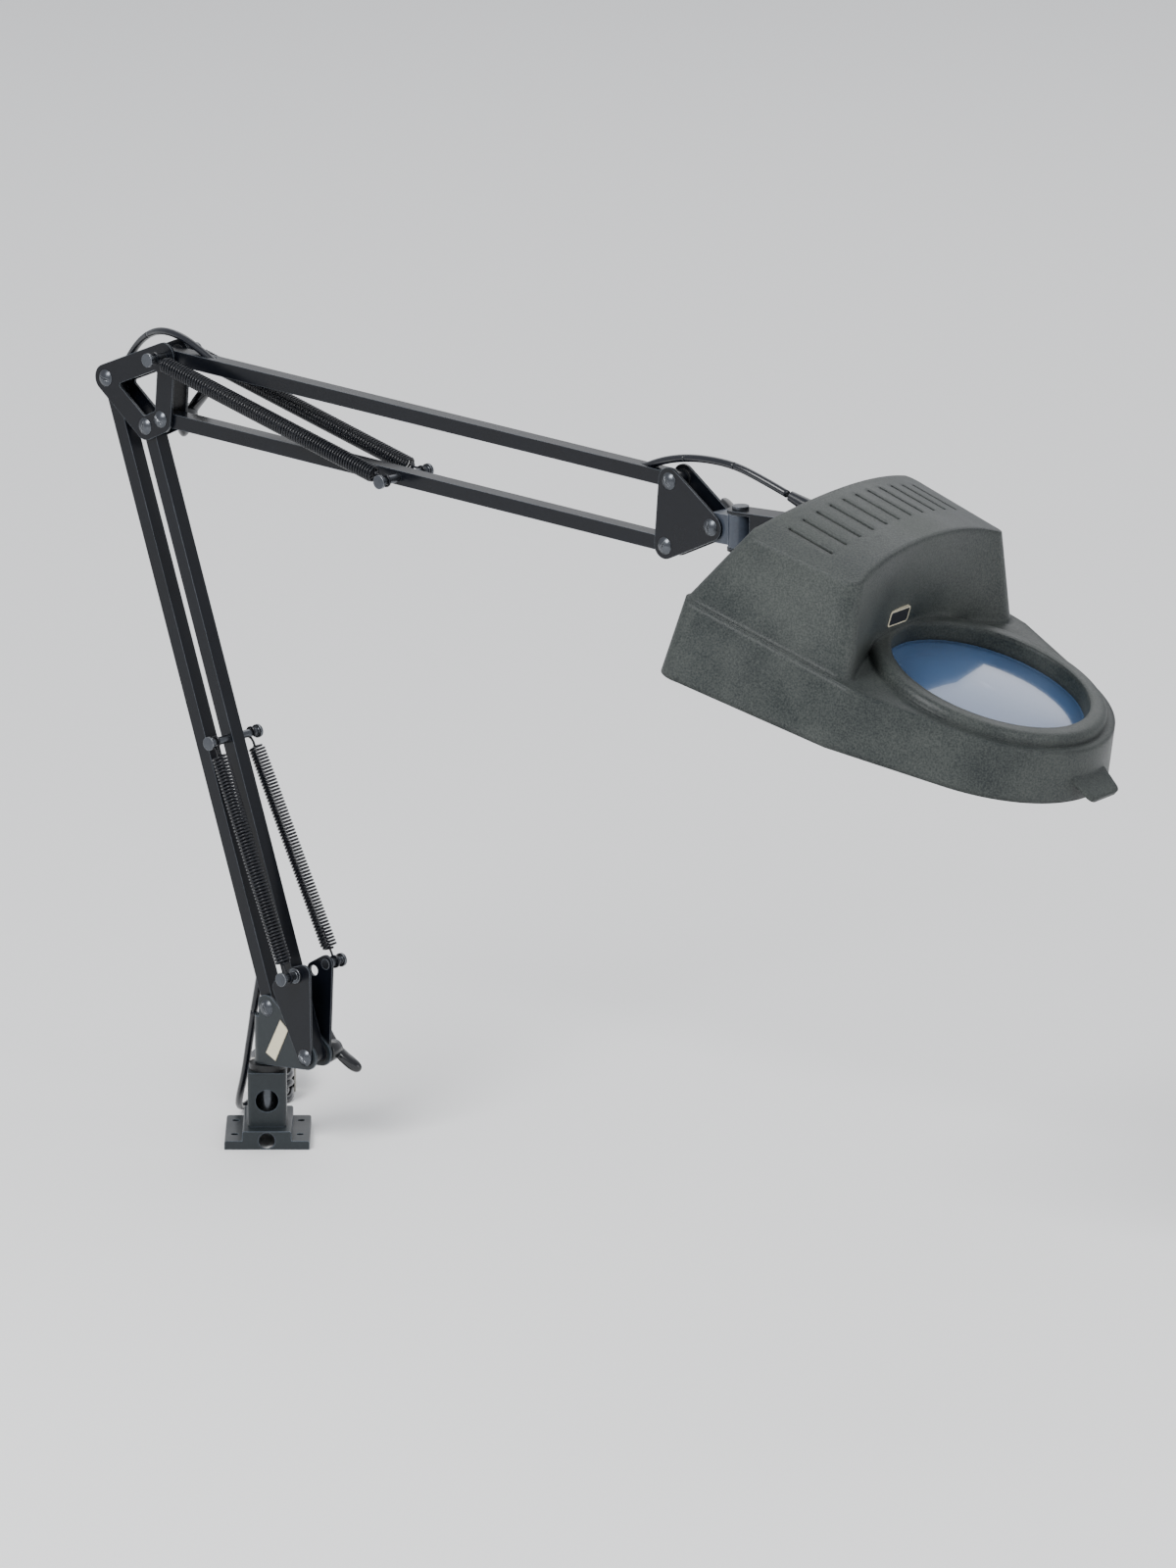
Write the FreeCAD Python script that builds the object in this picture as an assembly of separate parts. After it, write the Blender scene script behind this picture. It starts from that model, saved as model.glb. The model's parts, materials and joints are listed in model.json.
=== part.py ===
"""Swing-arm magnifier work lamp on a screwed-down bench bracket.

Millimetres, +Z up.  The origin is under the foot, on the axis of the base swivel.
The arms are drawn in an upright arm plane (X forwards, Y sideways, Z up) that is
turned ARM_YAW about Z.  The head is drawn about the centre of its lens.
"""
import FreeCAD, Part
import math
import os

V = FreeCAD.Vector
UP = V(0, 0, 1)
ACROSS = V(0, 1, 0)

# ---- placing of the arm plane and the head -------------------------------
ARM_YAW = -41.0
HEAD_YAW = -33.0
HEAD_PITCH = 20.6

# ---- bench bracket -------------------------------------------------------
FOOT_HALF = 26.0
FOOT_FRONT = -22.0
FOOT_REAR = 38.0
FOOT_HEIGHT = 5.5
FOOT_SHEET = 2.0
HAT_HALF = 15.0
HAT_HEIGHT = 11.5
TAB_HOLE_R = 5.0
BENCH_HOLE_R = 2.25
BENCH_HOLE_X = 20.0
BENCH_HOLE_Y = (-6.0, 26.0)
TOWER_HALF = 11.85
TOWER_SHEET = 2.0
TOWER_TOP = 45.5
TOWER_HOLE_R = 7.0
TOWER_HOLE_Z = 28.0
COLLAR_R = 11.0
COLLAR_HEIGHT = 4.2

# ---- swivel pin and yoke -------------------------------------------------
PIN_R = 6.35
PIN_RUN = 0.05
PIN_BOTTOM = 6.5
PIN_TOP = 76.0
RING_R = 9.5
RING_THICK = 1.2
YOKE_BOTTOM = 50.0
YOKE_SHEET = 1.6
YOKE_WEB_TOP = 80.0
CORNER_R = 8.0

# ---- arms ----------------------------------------------------------------
LOWER_LENGTH = 396.1
LOWER_LEAN = 19.1
UPPER_LENGTH = 404.3
UPPER_DROP = 2.5
BAR_WIDE = 8.9
BAR_DEEP = 10.2
BAR_WALL = 1.2
PLATE_SHEET = 1.6
PLATE_OUT = 7.5
WASHER_R = 5.5
WASHER_THICK = 0.5
SCREW_R = 2.5
SCREW_RUN = 0.05
OPEN_PIVOT_RUN = 0.35
WINDOW_SHARE = 0.58
HEAD_R = 5.2
HEAD_DOME = 2.4
NUT_R = 4.6
NUT_THICK = 3.0

# pivots of the yoke; every pivot further out follows from the two arm lengths
P1 = V(6.4, 0, 86.4)
P2 = V(38.9, 0, 61.0)
ELBOW_STEP = V(12.7, 0, 6.1)
ELBOW_RISE = V(3.2, 0, 39.5)
TILT_STEP = V(35.3, 0, 16.3)

# ---- springs -------------------------------------------------------------
SPRING_OD = 10.5
SPRING_WIRE = 1.4
SPRING_Y = 16.0
SPRING_PIN_R = 2.5
SPRING_PIN_HALF = 21.0
PIN_CAP_R = 4.2
PIN_CAP_THICK = 1.6
EYE_RUN = 0.1
EYE_GAP = 8.5
LOWER_PIN_AT = 199.6
UPPER_PIN_AT = 191.6
EAR_NEAR = V(32.0, 0, 111.5)
EAR_FAR = V(41.5, 0, 117.0)
EAR_WING = V(18.5, 0, 101.0)
EAR_HOLE_R = 3.25
EAR_CORNER_R = 5.5
SHANK_IN = 15.0
UPPER_SHANK_IN = 34.0

# ---- wing knobs ----------------------------------------------------------
KNOB_HUB_R = 7.0
KNOB_START = 9.6
KNOB_HUB_END = 18.0
KNOB_END = 27.0
WING_HALF = 20.0
WING_THICK = 8.0
YOKE_KNOB_TURN = 37
ELBOW_KNOB_TURN = -56
HEAD_KNOB_TURN = 25

# ---- tilt knuckle, swivel post and neck ----------------------------------
TILT_R = 7.5
KNUCKLE_HALF = 5.5
KNUCKLE_HIGH = 10.0
POST_STEP = 17.0
EYE_R = 7.5
POST_R = 3.0
NECK_HALF = 8.0
NECK_SHEET = 2.0
NECK_WEB = 13.0
NECK_REACH = V(167.36, 0.93, -76.75)
NECK_GAP = 0.4

# ---- hood ----------------------------------------------------------------
HOOD_WALL = 2.4
SHELF_H = 6.0
TOP_H = 72.0
CROWN_R = 286.0
CROWN_H = 69.5
RIM_REAR_H = -38.5
RIM_FRONT_H = -24.5
HOUSING_CORNER = 10.0
LENS_OPEN_R = 61.0
LENS_R = 63.5
LENS_EDGE = 4.0
LENS_SAG = 5.2
LENS_BASE = -3.2
BEAD_R = 72.0
BEAD_H = 12.5
SEAT_R = 63.6
SEAT_WALL = 3.2
RETAINER_THICK = 2.6
TAB_ROOT = V(66.0, 0, -8.2)
TAB_LONG = 31.0
TAB_HALF = (20.0, 14.5)
TAB_THICK = 3.0
TAB_DROP = 22.0
VENT_COUNT = 11
VENT_PITCH = 13.6
VENT_WIDE = 2.4
VENT_A = (-121.0, -89.0)

# ---- lamp in the hood ----------------------------------------------------
BULB_A = -106.0
BULB_H = 17.0
BULB_R = 30.0
SOCKET_R = 18.0
SOCKET_B = (-84.0, -34.0)
REFLECTOR_R = 34.0
REFLECTOR_END = 60.0
SEAT_GAP = 0.2
SWITCH_B = 74.0

# ---- cords ---------------------------------------------------------------
CORD_R = 2.3
CORD_ROOM = 0.6
HANK_FRONT = 78.0
HANK_BEND_IN = 6.9
HANK_BEND_OUT = 11.6
HANK_STRAIGHT = 50.0
HANK_LAYERS = 4
HANK_LAYER = 4.7
PLUG_SIZE = V(17.0, 34.0, 12.0)

ARM = FreeCAD.Placement(V(0, 0, 0), FreeCAD.Rotation(UP, ARM_YAW))
HEAD_TURN = FreeCAD.Rotation(UP, HEAD_YAW).multiply(FreeCAD.Rotation(ACROSS, HEAD_PITCH))


# ---- small helpers -------------------------------------------------------
def write(name, shapes):
    """Writes one node's solids to its own STEP file."""
    solids = []
    for shape in shapes if isinstance(shapes, list) else [shapes]:
        solids.extend(shape.Solids)
    Part.makeCompound(solids).exportStep("parts/" + name + ".step")
    print(name, len(solids), round(sum(s.Volume for s in solids), 1), all(s.isValid() for s in solids))


def on_arm(shape):
    """The shape, carried from the arm plane to its place."""
    placed = shape.copy()
    placed.Placement = ARM.multiply(placed.Placement)
    return placed


def on_head(shape):
    """The shape, carried from the head's own frame to its place."""
    placed = shape.copy()
    placed.Placement = HEAD.multiply(placed.Placement)
    return placed


def block(x, y, z):
    """A box between pairs of limits."""
    return Part.makeBox(x[1] - x[0], y[1] - y[0], z[1] - z[0], V(x[0], y[0], z[0]))


def rod(radius, start, end):
    """A round bar from one point to another."""
    along = end - start
    return Part.makeCylinder(radius, along.Length, start, along)


def tube(outer, inner, start, end):
    """A round tube from one point to another."""
    return rod(outer, start, end).cut(rod(inner, start, end))


def cross_rod(radius, at, y0, y1):
    """A round bar along Y through a pivot."""
    return rod(radius, V(at.x, y0, at.z), V(at.x, y1, at.z))


def rounded_hull(points, radius):
    """A flat face in the XZ plane: a convex outline kept a radius outside its points."""
    edges = []
    count = len(points)
    outs = []
    for i in range(count):
        step = points[(i + 1) % count] - points[i]
        outs.append(V(step.z, 0, -step.x).normalize() * radius)
    for i in range(count):
        here = points[i]
        there = points[(i + 1) % count]
        ahead = (there - here).normalize() * (0.001 * radius)
        mid = (outs[i] + outs[(i + 1) % count] + ahead).normalize() * radius
        edges.append(Part.LineSegment(here + outs[i], there + outs[i]).toShape())
        edges.append(Part.Arc(there + outs[i], there + mid, there + outs[(i + 1) % count]).toShape())
    return Part.Face(Part.Wire(edges))


def plate(points, radius, y0, y1):
    """A rounded plate between two Y values."""
    face = rounded_hull(points, radius)
    face.translate(V(0, y0, 0))
    return face.extrude(V(0, y1 - y0, 0))


def stadium(a, b, radius, y0, y1):
    """A flat bar with round ends about two pivots."""
    return plate([a, b], radius, y0, y1)


def turned(vector, degrees):
    """A vector of the arm plane, turned about +Y."""
    return FreeCAD.Rotation(ACROSS, degrees).multVec(vector)


def cord_path(points):
    """Straight runs joined by tangent arcs, each as large as its two runs allow."""
    edges = []
    last = points[0]
    radii = []
    for before, corner, after in zip(points, points[1:], points[2:]):
        into = (corner - before).normalize()
        out = (after - corner).normalize()
        half = into.getAngle(out) / 2
        shorter = min((corner - before).Length, (after - corner).Length)
        reach = 0.45 * shorter
        radius = reach / math.tan(half)
        radii.append(round(radius, 1))
        first = corner - into * reach
        final = corner + out * reach
        centre_way = (out - into).normalize()
        centre = corner + centre_way * (radius / math.cos(half))
        middle = centre - centre_way * radius
        edges.append(Part.LineSegment(last, first).toShape())
        edges.append(Part.Arc(first, middle, final).toShape())
        last = final
    edges.append(Part.LineSegment(last, points[-1]).toShape())
    return Part.Wire(edges), radii


def cord(points, radius=CORD_R, report=None):
    """A cord's solid along its route."""
    path, radii = cord_path(points)
    ring = Part.Wire(Part.Circle(points[0], points[1] - points[0], radius).toShape())
    solid = path.makePipeShell([ring], True, False)
    if report:
        length = path.Length
        expected = math.pi * radius * radius * length
        print(report, "radii", radii, "length", round(length, 1), "volume/expected",
              round(solid.Volume / expected, 4))
    return solid


def screw_head(at, y_face, side, slot_turn):
    """A domed, slotted screw head that stands on a plate face."""
    ball_r = (HEAD_R ** 2 + HEAD_DOME ** 2) / (2 * HEAD_DOME)
    y_end = y_face + side * HEAD_DOME
    low = min(y_face, y_end)
    disc = cross_rod(HEAD_R, at, low, low + HEAD_DOME)
    ball = Part.makeSphere(ball_r + 0.4, V(at.x, y_end - side * (ball_r + 0.4), at.z))
    slot = block((-HEAD_R - 1, HEAD_R + 1), (-0.9, 0.9), (-0.6, 0.6))
    slot.rotate(V(0, 0, 0), ACROSS, slot_turn)
    slot.translate(V(at.x, y_end, at.z))
    return disc.common(ball).cut(slot)


def hex_nut(at, y0, y1, hole):
    """A hexagon nut along Y."""
    corners = []
    for k in range(7):
        turn = math.radians(60 * k)
        corners.append(V(at.x + NUT_R * math.cos(turn), y0, at.z + NUT_R * math.sin(turn)))
    face = Part.Face(Part.makePolygon(corners))
    return face.extrude(V(0, y1 - y0, 0)).cut(cross_rod(hole, at, y0 - 1, y1 + 1))


def pivot_screw(at, y_near, y_far, slot_turn):
    """A shoulder screw through a joint: head on the near side, nut on the far side."""
    shank = cross_rod(SCREW_R, at, y_near, y_far + NUT_THICK + 0.8)
    head = screw_head(at, y_near, -1, slot_turn)
    return shank.fuse(head), hex_nut(at, y_far, y_far + NUT_THICK, SCREW_R + SCREW_RUN)


def knob_screw(at, y_near, y_far, slot_turn):
    """A joint screw whose far end takes a wing knob."""
    return cross_rod(SCREW_R, at, y_near, KNOB_HUB_END - 2).fuse(screw_head(at, y_near, -1, slot_turn))


def washers(at):
    """The two thin washers between a bar and its plates."""
    inner = PLATE_OUT - PLATE_SHEET
    pair = []
    for y0 in (-inner, inner - WASHER_THICK):
        disc = cross_rod(WASHER_R, at, y0, y0 + WASHER_THICK)
        pair.append(disc.cut(cross_rod(SCREW_R + SCREW_RUN, at, y0 - 1, y0 + WASHER_THICK + 1)))
    return pair


def wing_knob(at, turn):
    """A wing knob: a round hub with a flared T-shaped wing."""
    hub = cross_rod(KNOB_HUB_R, at, KNOB_START, KNOB_HUB_END)
    half = WING_THICK / 2
    foot = KNOB_HUB_R * 0.8
    shoulder = KNOB_END - 6.0
    outline = [V(-foot, KNOB_HUB_END - 2, -half), V(foot, KNOB_HUB_END - 2, -half), V(foot, KNOB_HUB_END, -half),
               V(WING_HALF, shoulder, -half), V(WING_HALF, KNOB_END - 1.5, -half),
               V(WING_HALF - 1.5, KNOB_END, -half), V(1.5 - WING_HALF, KNOB_END, -half),
               V(-WING_HALF, KNOB_END - 1.5, -half), V(-WING_HALF, shoulder, -half),
               V(-foot, KNOB_HUB_END, -half)]
    wing = Part.Face(Part.makePolygon(outline + [outline[0]])).extrude(UP * WING_THICK)
    wing.rotate(V(0, 0, 0), ACROSS, turn)
    wing.translate(V(at.x, 0, at.z))
    bore = cross_rod(SCREW_R + SCREW_RUN, at, KNOB_START - 1, KNOB_HUB_END - 1.7)
    return hub.fuse(wing).removeSplitter().cut(bore)


# ---- pivots of the arms --------------------------------------------------
LOWER_DIR = turned(UP, -LOWER_LEAN)
UPPER_DIR = turned(V(1, 0, 0), UPPER_DROP)
ELBOW_L = P1 + LOWER_DIR * LOWER_LENGTH
ELBOW_BL = P2 + LOWER_DIR * LOWER_LENGTH
ELBOW_BR = ELBOW_BL + ELBOW_STEP
ELBOW_TR = ELBOW_BR + ELBOW_RISE
HEAD_H2 = ELBOW_BR + UPPER_DIR * UPPER_LENGTH
HEAD_H1 = HEAD_H2 + ELBOW_RISE
HEAD_H3 = HEAD_H2 + TILT_STEP
LOWER_SPRING_PIN = P2 + LOWER_DIR * LOWER_PIN_AT
UPPER_SPRING_PIN = ELBOW_BR + UPPER_DIR * UPPER_PIN_AT
POST = HEAD_H3 + V(POST_STEP, 0, 0)
PLATE_IN = PLATE_OUT - PLATE_SHEET
HEADING = FreeCAD.Placement(ARM.multVec(POST), FreeCAD.Rotation(UP, HEAD_YAW))
HEAD = FreeCAD.Placement(HEADING.multVec(NECK_REACH), HEAD_TURN)

# ---- routes of the held cords, in the arm plane --------------------------
def route(anchor, steps):
    """Points of a cord, each as a step from the pivot that it belongs to."""
    return [anchor + step for step in steps]


HEAD_CORD = route(HEAD_H1, [
    V(-45.11, 0, 1.95), V(-30.11, 0, 1.35), V(-12.11, 0, 9.35), V(5.89, 0, 13.75),
    V(23.89, 0.3, 15.35), V(43.89, 1.2, 14.35), V(63.49, 3.4, 8.25), V(80.19, 5.8, 1.65),
])
HEAD_CORD_CUTS = (3, 5)
ELBOW_CORD = route(ELBOW_L, [
    V(103.21, 0, 17.81), V(87.21, 0, 18.61), V(71.21, 0.5, 26.31), V(55.21, 1.2, 32.51),
    V(37.21, 4, 33.31), V(20.21, 9.5, 27.81), V(5.21, 14.2, 17.31), V(-5.79, 15.4, 2.31),
    V(-10.29, 13.5, -12.69), V(-6.29, 8.8, -26.89), V(5.01, 3.2, -39.69), V(18.01, 0, -52.29),
    V(22.61, 0, -65.49),
])
ELBOW_CORD_CUT = 5
BASE_CORD = route(P1, [
    V(-14.8, 0, 42.7), V(-9.8, 0, 28.3), V(-13.4, 0.4, 11.6), V(-18.8, 2, -6.4),
])

# ---- route of the mains cord, from the yoke down to the bench ------------
MAINS_CORD = [
    ARM.multVec(BASE_CORD[-1]), V(-10.0, 15.5, 66.0), V(-12.0, 21.5, 52.5), V(-13.8, 28.0, 39.5),
    V(-16.0, 35.6, 27.0), V(-18.3, 44.0, 15.8), V(-19.0, 53.5, 7.6), V(-17.2, 64.5, 3.6),
    V(-13.8, 75.5, 2.5), V(-11.8, 86.0, 2.3), V(-11.4, 96.0, 2.3),
]


# ---- bench bracket -------------------------------------------------------
def foot_plate():
    """Pressed sheet foot: two wings with turned-down lips and a raised middle."""
    length = (FOOT_FRONT, FOOT_REAR)
    wing_z = (FOOT_HEIGHT - FOOT_SHEET, FOOT_HEIGHT)
    outer = block((-FOOT_HALF, FOOT_HALF), length, wing_z)
    outer = outer.fuse(block((-HAT_HALF, HAT_HALF), length, (wing_z[0], HAT_HEIGHT)))
    inner_half = HAT_HALF - FOOT_SHEET
    outer = outer.cut(block((-inner_half, inner_half), (FOOT_FRONT - 1, FOOT_REAR + 1),
                            (0, HAT_HEIGHT - FOOT_SHEET)))
    front = block((-FOOT_HALF, FOOT_HALF), (FOOT_FRONT, FOOT_FRONT + FOOT_SHEET), (0, FOOT_HEIGHT))
    front = front.fuse(block((-HAT_HALF, HAT_HALF), (FOOT_FRONT, FOOT_FRONT + FOOT_SHEET), (0, HAT_HEIGHT)))
    sheet = outer.fuse(front)
    for side in (-1, 1):
        edge = sorted((side * FOOT_HALF, side * (FOOT_HALF - FOOT_SHEET)))
        sheet = sheet.fuse(block(edge, length, (0, FOOT_HEIGHT)))
    sheet = sheet.removeSplitter()
    top = [e for e in sheet.Edges if e.BoundBox.ZMin > FOOT_HEIGHT - 0.01 and e.BoundBox.ZMax
           < FOOT_HEIGHT + 0.01 and abs(e.CenterOfMass.x) > FOOT_HALF - 0.01]
    hat = [e for e in sheet.Edges if e.BoundBox.ZMin > HAT_HEIGHT - 0.01 and
           abs(e.BoundBox.YLength) > 1 and abs(e.CenterOfMass.x) > HAT_HALF - 0.01]
    sheet = sheet.makeFillet(FOOT_SHEET * 0.7, top + hat)
    sheet = sheet.cut(rod(TAB_HOLE_R, V(0, FOOT_FRONT - 1, FOOT_HEIGHT), V(0, FOOT_FRONT + 4, FOOT_HEIGHT)))
    sheet = sheet.cut(rod(PIN_R + PIN_RUN, V(0, 0, 0), V(0, 0, HAT_HEIGHT + 1)))
    for x in (-BENCH_HOLE_X, BENCH_HOLE_X):
        for y in BENCH_HOLE_Y:
            sheet = sheet.cut(rod(BENCH_HOLE_R, V(x, y, 0), V(x, y, FOOT_HEIGHT + 1)))
    return sheet


def tower_bracket():
    """Folded box that holds the swivel pin upright, with a window front and back."""
    side = (-TOWER_HALF, TOWER_HALF)
    core = (-TOWER_HALF + TOWER_SHEET, TOWER_HALF - TOWER_SHEET)
    box = block(side, side, (HAT_HEIGHT, TOWER_TOP))
    upright = [e for e in box.Edges if abs(e.BoundBox.ZLength) > 1]
    box = box.makeFillet(2.6, upright)
    box = box.cut(block(core, core, (HAT_HEIGHT - 1, TOWER_TOP - TOWER_SHEET)))
    box = box.cut(rod(PIN_R + PIN_RUN, V(0, 0, TOWER_TOP - 5), V(0, 0, TOWER_TOP + 1)))
    reach = TOWER_HALF + 1
    return box.cut(rod(TOWER_HOLE_R, V(0, -reach, TOWER_HOLE_Z), V(0, reach, TOWER_HOLE_Z)))


def build_bracket():
    """Foot, tower, collar and the four bench screws."""
    write("foot_plate", foot_plate())
    write("tower_bracket", tower_bracket())
    write("swivel_collar", tube(COLLAR_R, PIN_R + PIN_RUN, V(0, 0, TOWER_TOP), V(0, 0, TOWER_TOP + COLLAR_HEIGHT)))


# ---- mains cord ----------------------------------------------------------
def hank_solid():
    """The folded-away length of the mains cord, as one rounded block."""
    half = HANK_BEND_OUT + CORD_R
    near = HANK_FRONT + half
    height = HANK_LAYER * (HANK_LAYERS - 1) + 2 * CORD_R
    far = near + HANK_STRAIGHT
    body = block((-half, half), (near, far), (0, height))
    body = body.fuse(rod(half, V(0, near, 0), V(0, near, height)))
    body = body.fuse(rod(half, V(0, far, 0), V(0, far, height)))
    return body.removeSplitter(), height


def build_mains_cord():
    """Visible stretch, hank, tie and plug."""
    hank, height = hank_solid()
    run = cord(MAINS_CORD, report="mains cord")
    write("mains_cord", run)
    write("cord_hank", hank.cut(run))
    half = HANK_BEND_OUT + CORD_R
    middle = HANK_FRONT + half + HANK_STRAIGHT / 2
    band = block((-half - 1, half + 1), (middle - 4, middle + 4), (0, height + 1))
    write("cord_tie", band.cut(block((-half, half), (middle - 5, middle + 5), (-1, height))))
    plug_y = middle + 6
    base_z = height + 0.3
    body = block((-PLUG_SIZE.x / 2, PLUG_SIZE.x / 2), (plug_y, plug_y + PLUG_SIZE.y * 0.6),
                 (base_z, base_z + PLUG_SIZE.z))
    body = body.makeFillet(3.0, body.Edges)
    write("plug_body", body)
    blades = []
    for x in (-6.35, 6.35):
        blades.append(block((x - 0.8, x + 0.8), (plug_y + PLUG_SIZE.y * 0.6, plug_y + PLUG_SIZE.y * 0.6 + 16),
                            (base_z + 3.0, base_z + 9.0)))
    write("plug_blades", blades)


# ---- yoke ----------------------------------------------------------------
def yoke_frame():
    """Folded U: a half-round back about the pin and two cheek plates."""
    low = V(0, 0, YOKE_BOTTOM + CORNER_R)
    cheeks = []
    for y0 in (-PLATE_OUT, PLATE_IN):
        cheek = plate([low, P2, P1], CORNER_R, y0, y0 + YOKE_SHEET)
        cheeks.append(cheek.common(block((0, 90), (-20, 20), (YOKE_BOTTOM, 120))))
    back = tube(PLATE_OUT, PLATE_IN, V(0, 0, YOKE_BOTTOM), V(0, 0, YOKE_WEB_TOP))
    back = back.common(block((-20, 0), (-20, 20), (0, 120)))
    frame = cheeks[0].fuse(cheeks[1]).fuse(back).removeSplitter()
    for at in (P1, P2):
        frame = frame.cut(cross_rod(SCREW_R + SCREW_RUN, at, -20, 20))
    return frame


def spring_ears():
    """The two upright ears that carry the lower ends of the lower springs."""
    ears = []
    outlines = ((-PLATE_OUT - PLATE_SHEET, [P2, EAR_NEAR + V(6, 0, 2), EAR_NEAR, EAR_WING]),
                (PLATE_OUT, [P2, EAR_FAR, EAR_NEAR]))
    for y0, outline in outlines:
        ear = plate(outline, EAR_CORNER_R, y0, y0 + PLATE_SHEET)
        for at in (EAR_NEAR, EAR_FAR):
            if y0 > 0 or at == EAR_NEAR:
                ear = ear.cut(cross_rod(EAR_HOLE_R, at, y0 - 1, y0 + PLATE_SHEET + 1))
        ears.append(ear.cut(cross_rod(SCREW_R + SCREW_RUN, P2, y0 - 1, y0 + PLATE_SHEET + 1)))
    return ears


def spring_stud(at, side):
    """A riveted stud that a spring's lower hook hangs on."""
    base = PLATE_OUT + PLATE_SHEET
    parts = [(EAR_HOLE_R - 0.05, base - PLATE_SHEET, base), (EAR_HOLE_R + 1.4, base, base + 1.2),
             (SPRING_PIN_R, base, SPRING_PIN_HALF), (PIN_CAP_R, SPRING_PIN_HALF, SPRING_PIN_HALF + PIN_CAP_THICK)]
    stud = None
    for radius, y0, y1 in parts:
        ends = sorted((side * y0, side * y1))
        piece = cross_rod(radius, at, ends[0], ends[1])
        stud = piece if stud is None else stud.fuse(piece)
    return stud.removeSplitter()


def rating_plate():
    """The bare pale label strip on the near cheek, in line with the cheek's lower edge."""
    face = PLATE_OUT + 0.4
    corners = [V(6.1, -face, 58.2), V(14.0, -face, 54.3), V(24.6, -face, 75.6), V(18.0, -face, 81.0)]
    return Part.Face(Part.makePolygon(corners + [corners[0]])).extrude(V(0, 0.4, 0))


def build_yoke():
    """Pin, frame, ears, studs, screws and washers of the yoke."""
    pin = rod(PIN_R, V(0, 0, PIN_BOTTOM), V(0, 0, YOKE_BOTTOM))
    pin = pin.fuse(rod(PLATE_IN - PIN_RUN, V(0, 0, YOKE_BOTTOM), V(0, 0, PIN_TOP)))
    ring_z = HAT_HEIGHT - FOOT_SHEET - RING_THICK - 0.3
    groove = tube(PIN_R + 1, PIN_R - 1, V(0, 0, ring_z), V(0, 0, ring_z + RING_THICK))
    write("swivel_pin", pin.removeSplitter().cut(groove))
    ring = tube(RING_R, PIN_R - 0.95, V(0, 0, ring_z), V(0, 0, ring_z + RING_THICK))
    mouth = block((-3.2, 3.2), (0, RING_R + 1), (0, HAT_HEIGHT))
    write("pin_ring", ring.cut(mouth))
    write("yoke_frame", on_arm(yoke_frame()))
    write("spring_ears", [on_arm(s) for s in spring_ears()])
    write("spring_studs", [on_arm(spring_stud(EAR_NEAR, -1)), on_arm(spring_stud(EAR_FAR, 1))])
    write("rating_plate", on_arm(rating_plate()))
    rear = pivot_screw(P1, -PLATE_OUT, PLATE_OUT, 70)
    front = knob_screw(P2, -PLATE_OUT - PLATE_SHEET, PLATE_OUT + PLATE_SHEET, 35)
    write("yoke_screws", [on_arm(s) for s in (rear[0], rear[1], front)])
    write("yoke_washers", [on_arm(s) for s in washers(P1) + washers(P2)])
    write("yoke_knob", on_arm(wing_knob(P2, YOKE_KNOB_TURN)))


# ---- arms ----------------------------------------------------------------
def arm_bar(start, end, start_run, end_run):
    """A hollow rectangular bar with round ends, bored for its two pivots."""
    half = BAR_WIDE / 2
    deep = BAR_DEEP / 2
    bar = stadium(start, end, half, -deep, deep)
    along = (end - start).normalize()
    inset = along * (half + 4)
    bar = bar.cut(stadium(start + inset, end - inset, half - BAR_WALL, -deep + BAR_WALL, deep - BAR_WALL))
    bar = bar.cut(cross_rod(SCREW_R + start_run, start, -20, 20))
    return bar.cut(cross_rod(SCREW_R + end_run, end, -20, 20))


def spring_pin(at):
    """A cross pin through a bar, with caps, that carries two spring eyes."""
    pin = cross_rod(SPRING_PIN_R, at, -SPRING_PIN_HALF, SPRING_PIN_HALF)
    caps = []
    for y0 in (-SPRING_PIN_HALF - PIN_CAP_THICK, SPRING_PIN_HALF):
        pin = pin.fuse(cross_rod(PIN_CAP_R, at, y0, y0 + PIN_CAP_THICK))
        caps.append(y0)
    return pin.removeSplitter()


def build_arms():
    """The four bars and the spring pins that two of them carry."""
    rear = arm_bar(P1, ELBOW_L, SCREW_RUN, SCREW_RUN)
    rear = rear.cut(cord(ELBOW_CORD[-4:], CORD_R + CORD_ROOM))
    rear = rear.cut(cord(BASE_CORD, CORD_R + CORD_ROOM))
    write("lower_rear_bar", on_arm(rear))
    front = arm_bar(P2, ELBOW_BL, SCREW_RUN, OPEN_PIVOT_RUN)
    write("lower_front_bar", on_arm(front.cut(cross_rod(SPRING_PIN_R, LOWER_SPRING_PIN, -20, 20))))
    write("lower_spring_pin", on_arm(spring_pin(LOWER_SPRING_PIN)))
    top = arm_bar(ELBOW_TR, HEAD_H1, SCREW_RUN, SCREW_RUN)
    top = top.cut(cord(ELBOW_CORD[:4], CORD_R + CORD_ROOM))
    top = top.cut(cord(HEAD_CORD[:4], CORD_R + CORD_ROOM))
    write("upper_top_bar", on_arm(top))
    bottom = arm_bar(ELBOW_BR, HEAD_H2, SCREW_RUN, OPEN_PIVOT_RUN)
    write("upper_bottom_bar", on_arm(bottom.cut(cross_rod(SPRING_PIN_R, UPPER_SPRING_PIN, -20, 20))))
    write("upper_spring_pin", on_arm(spring_pin(UPPER_SPRING_PIN)))


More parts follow.
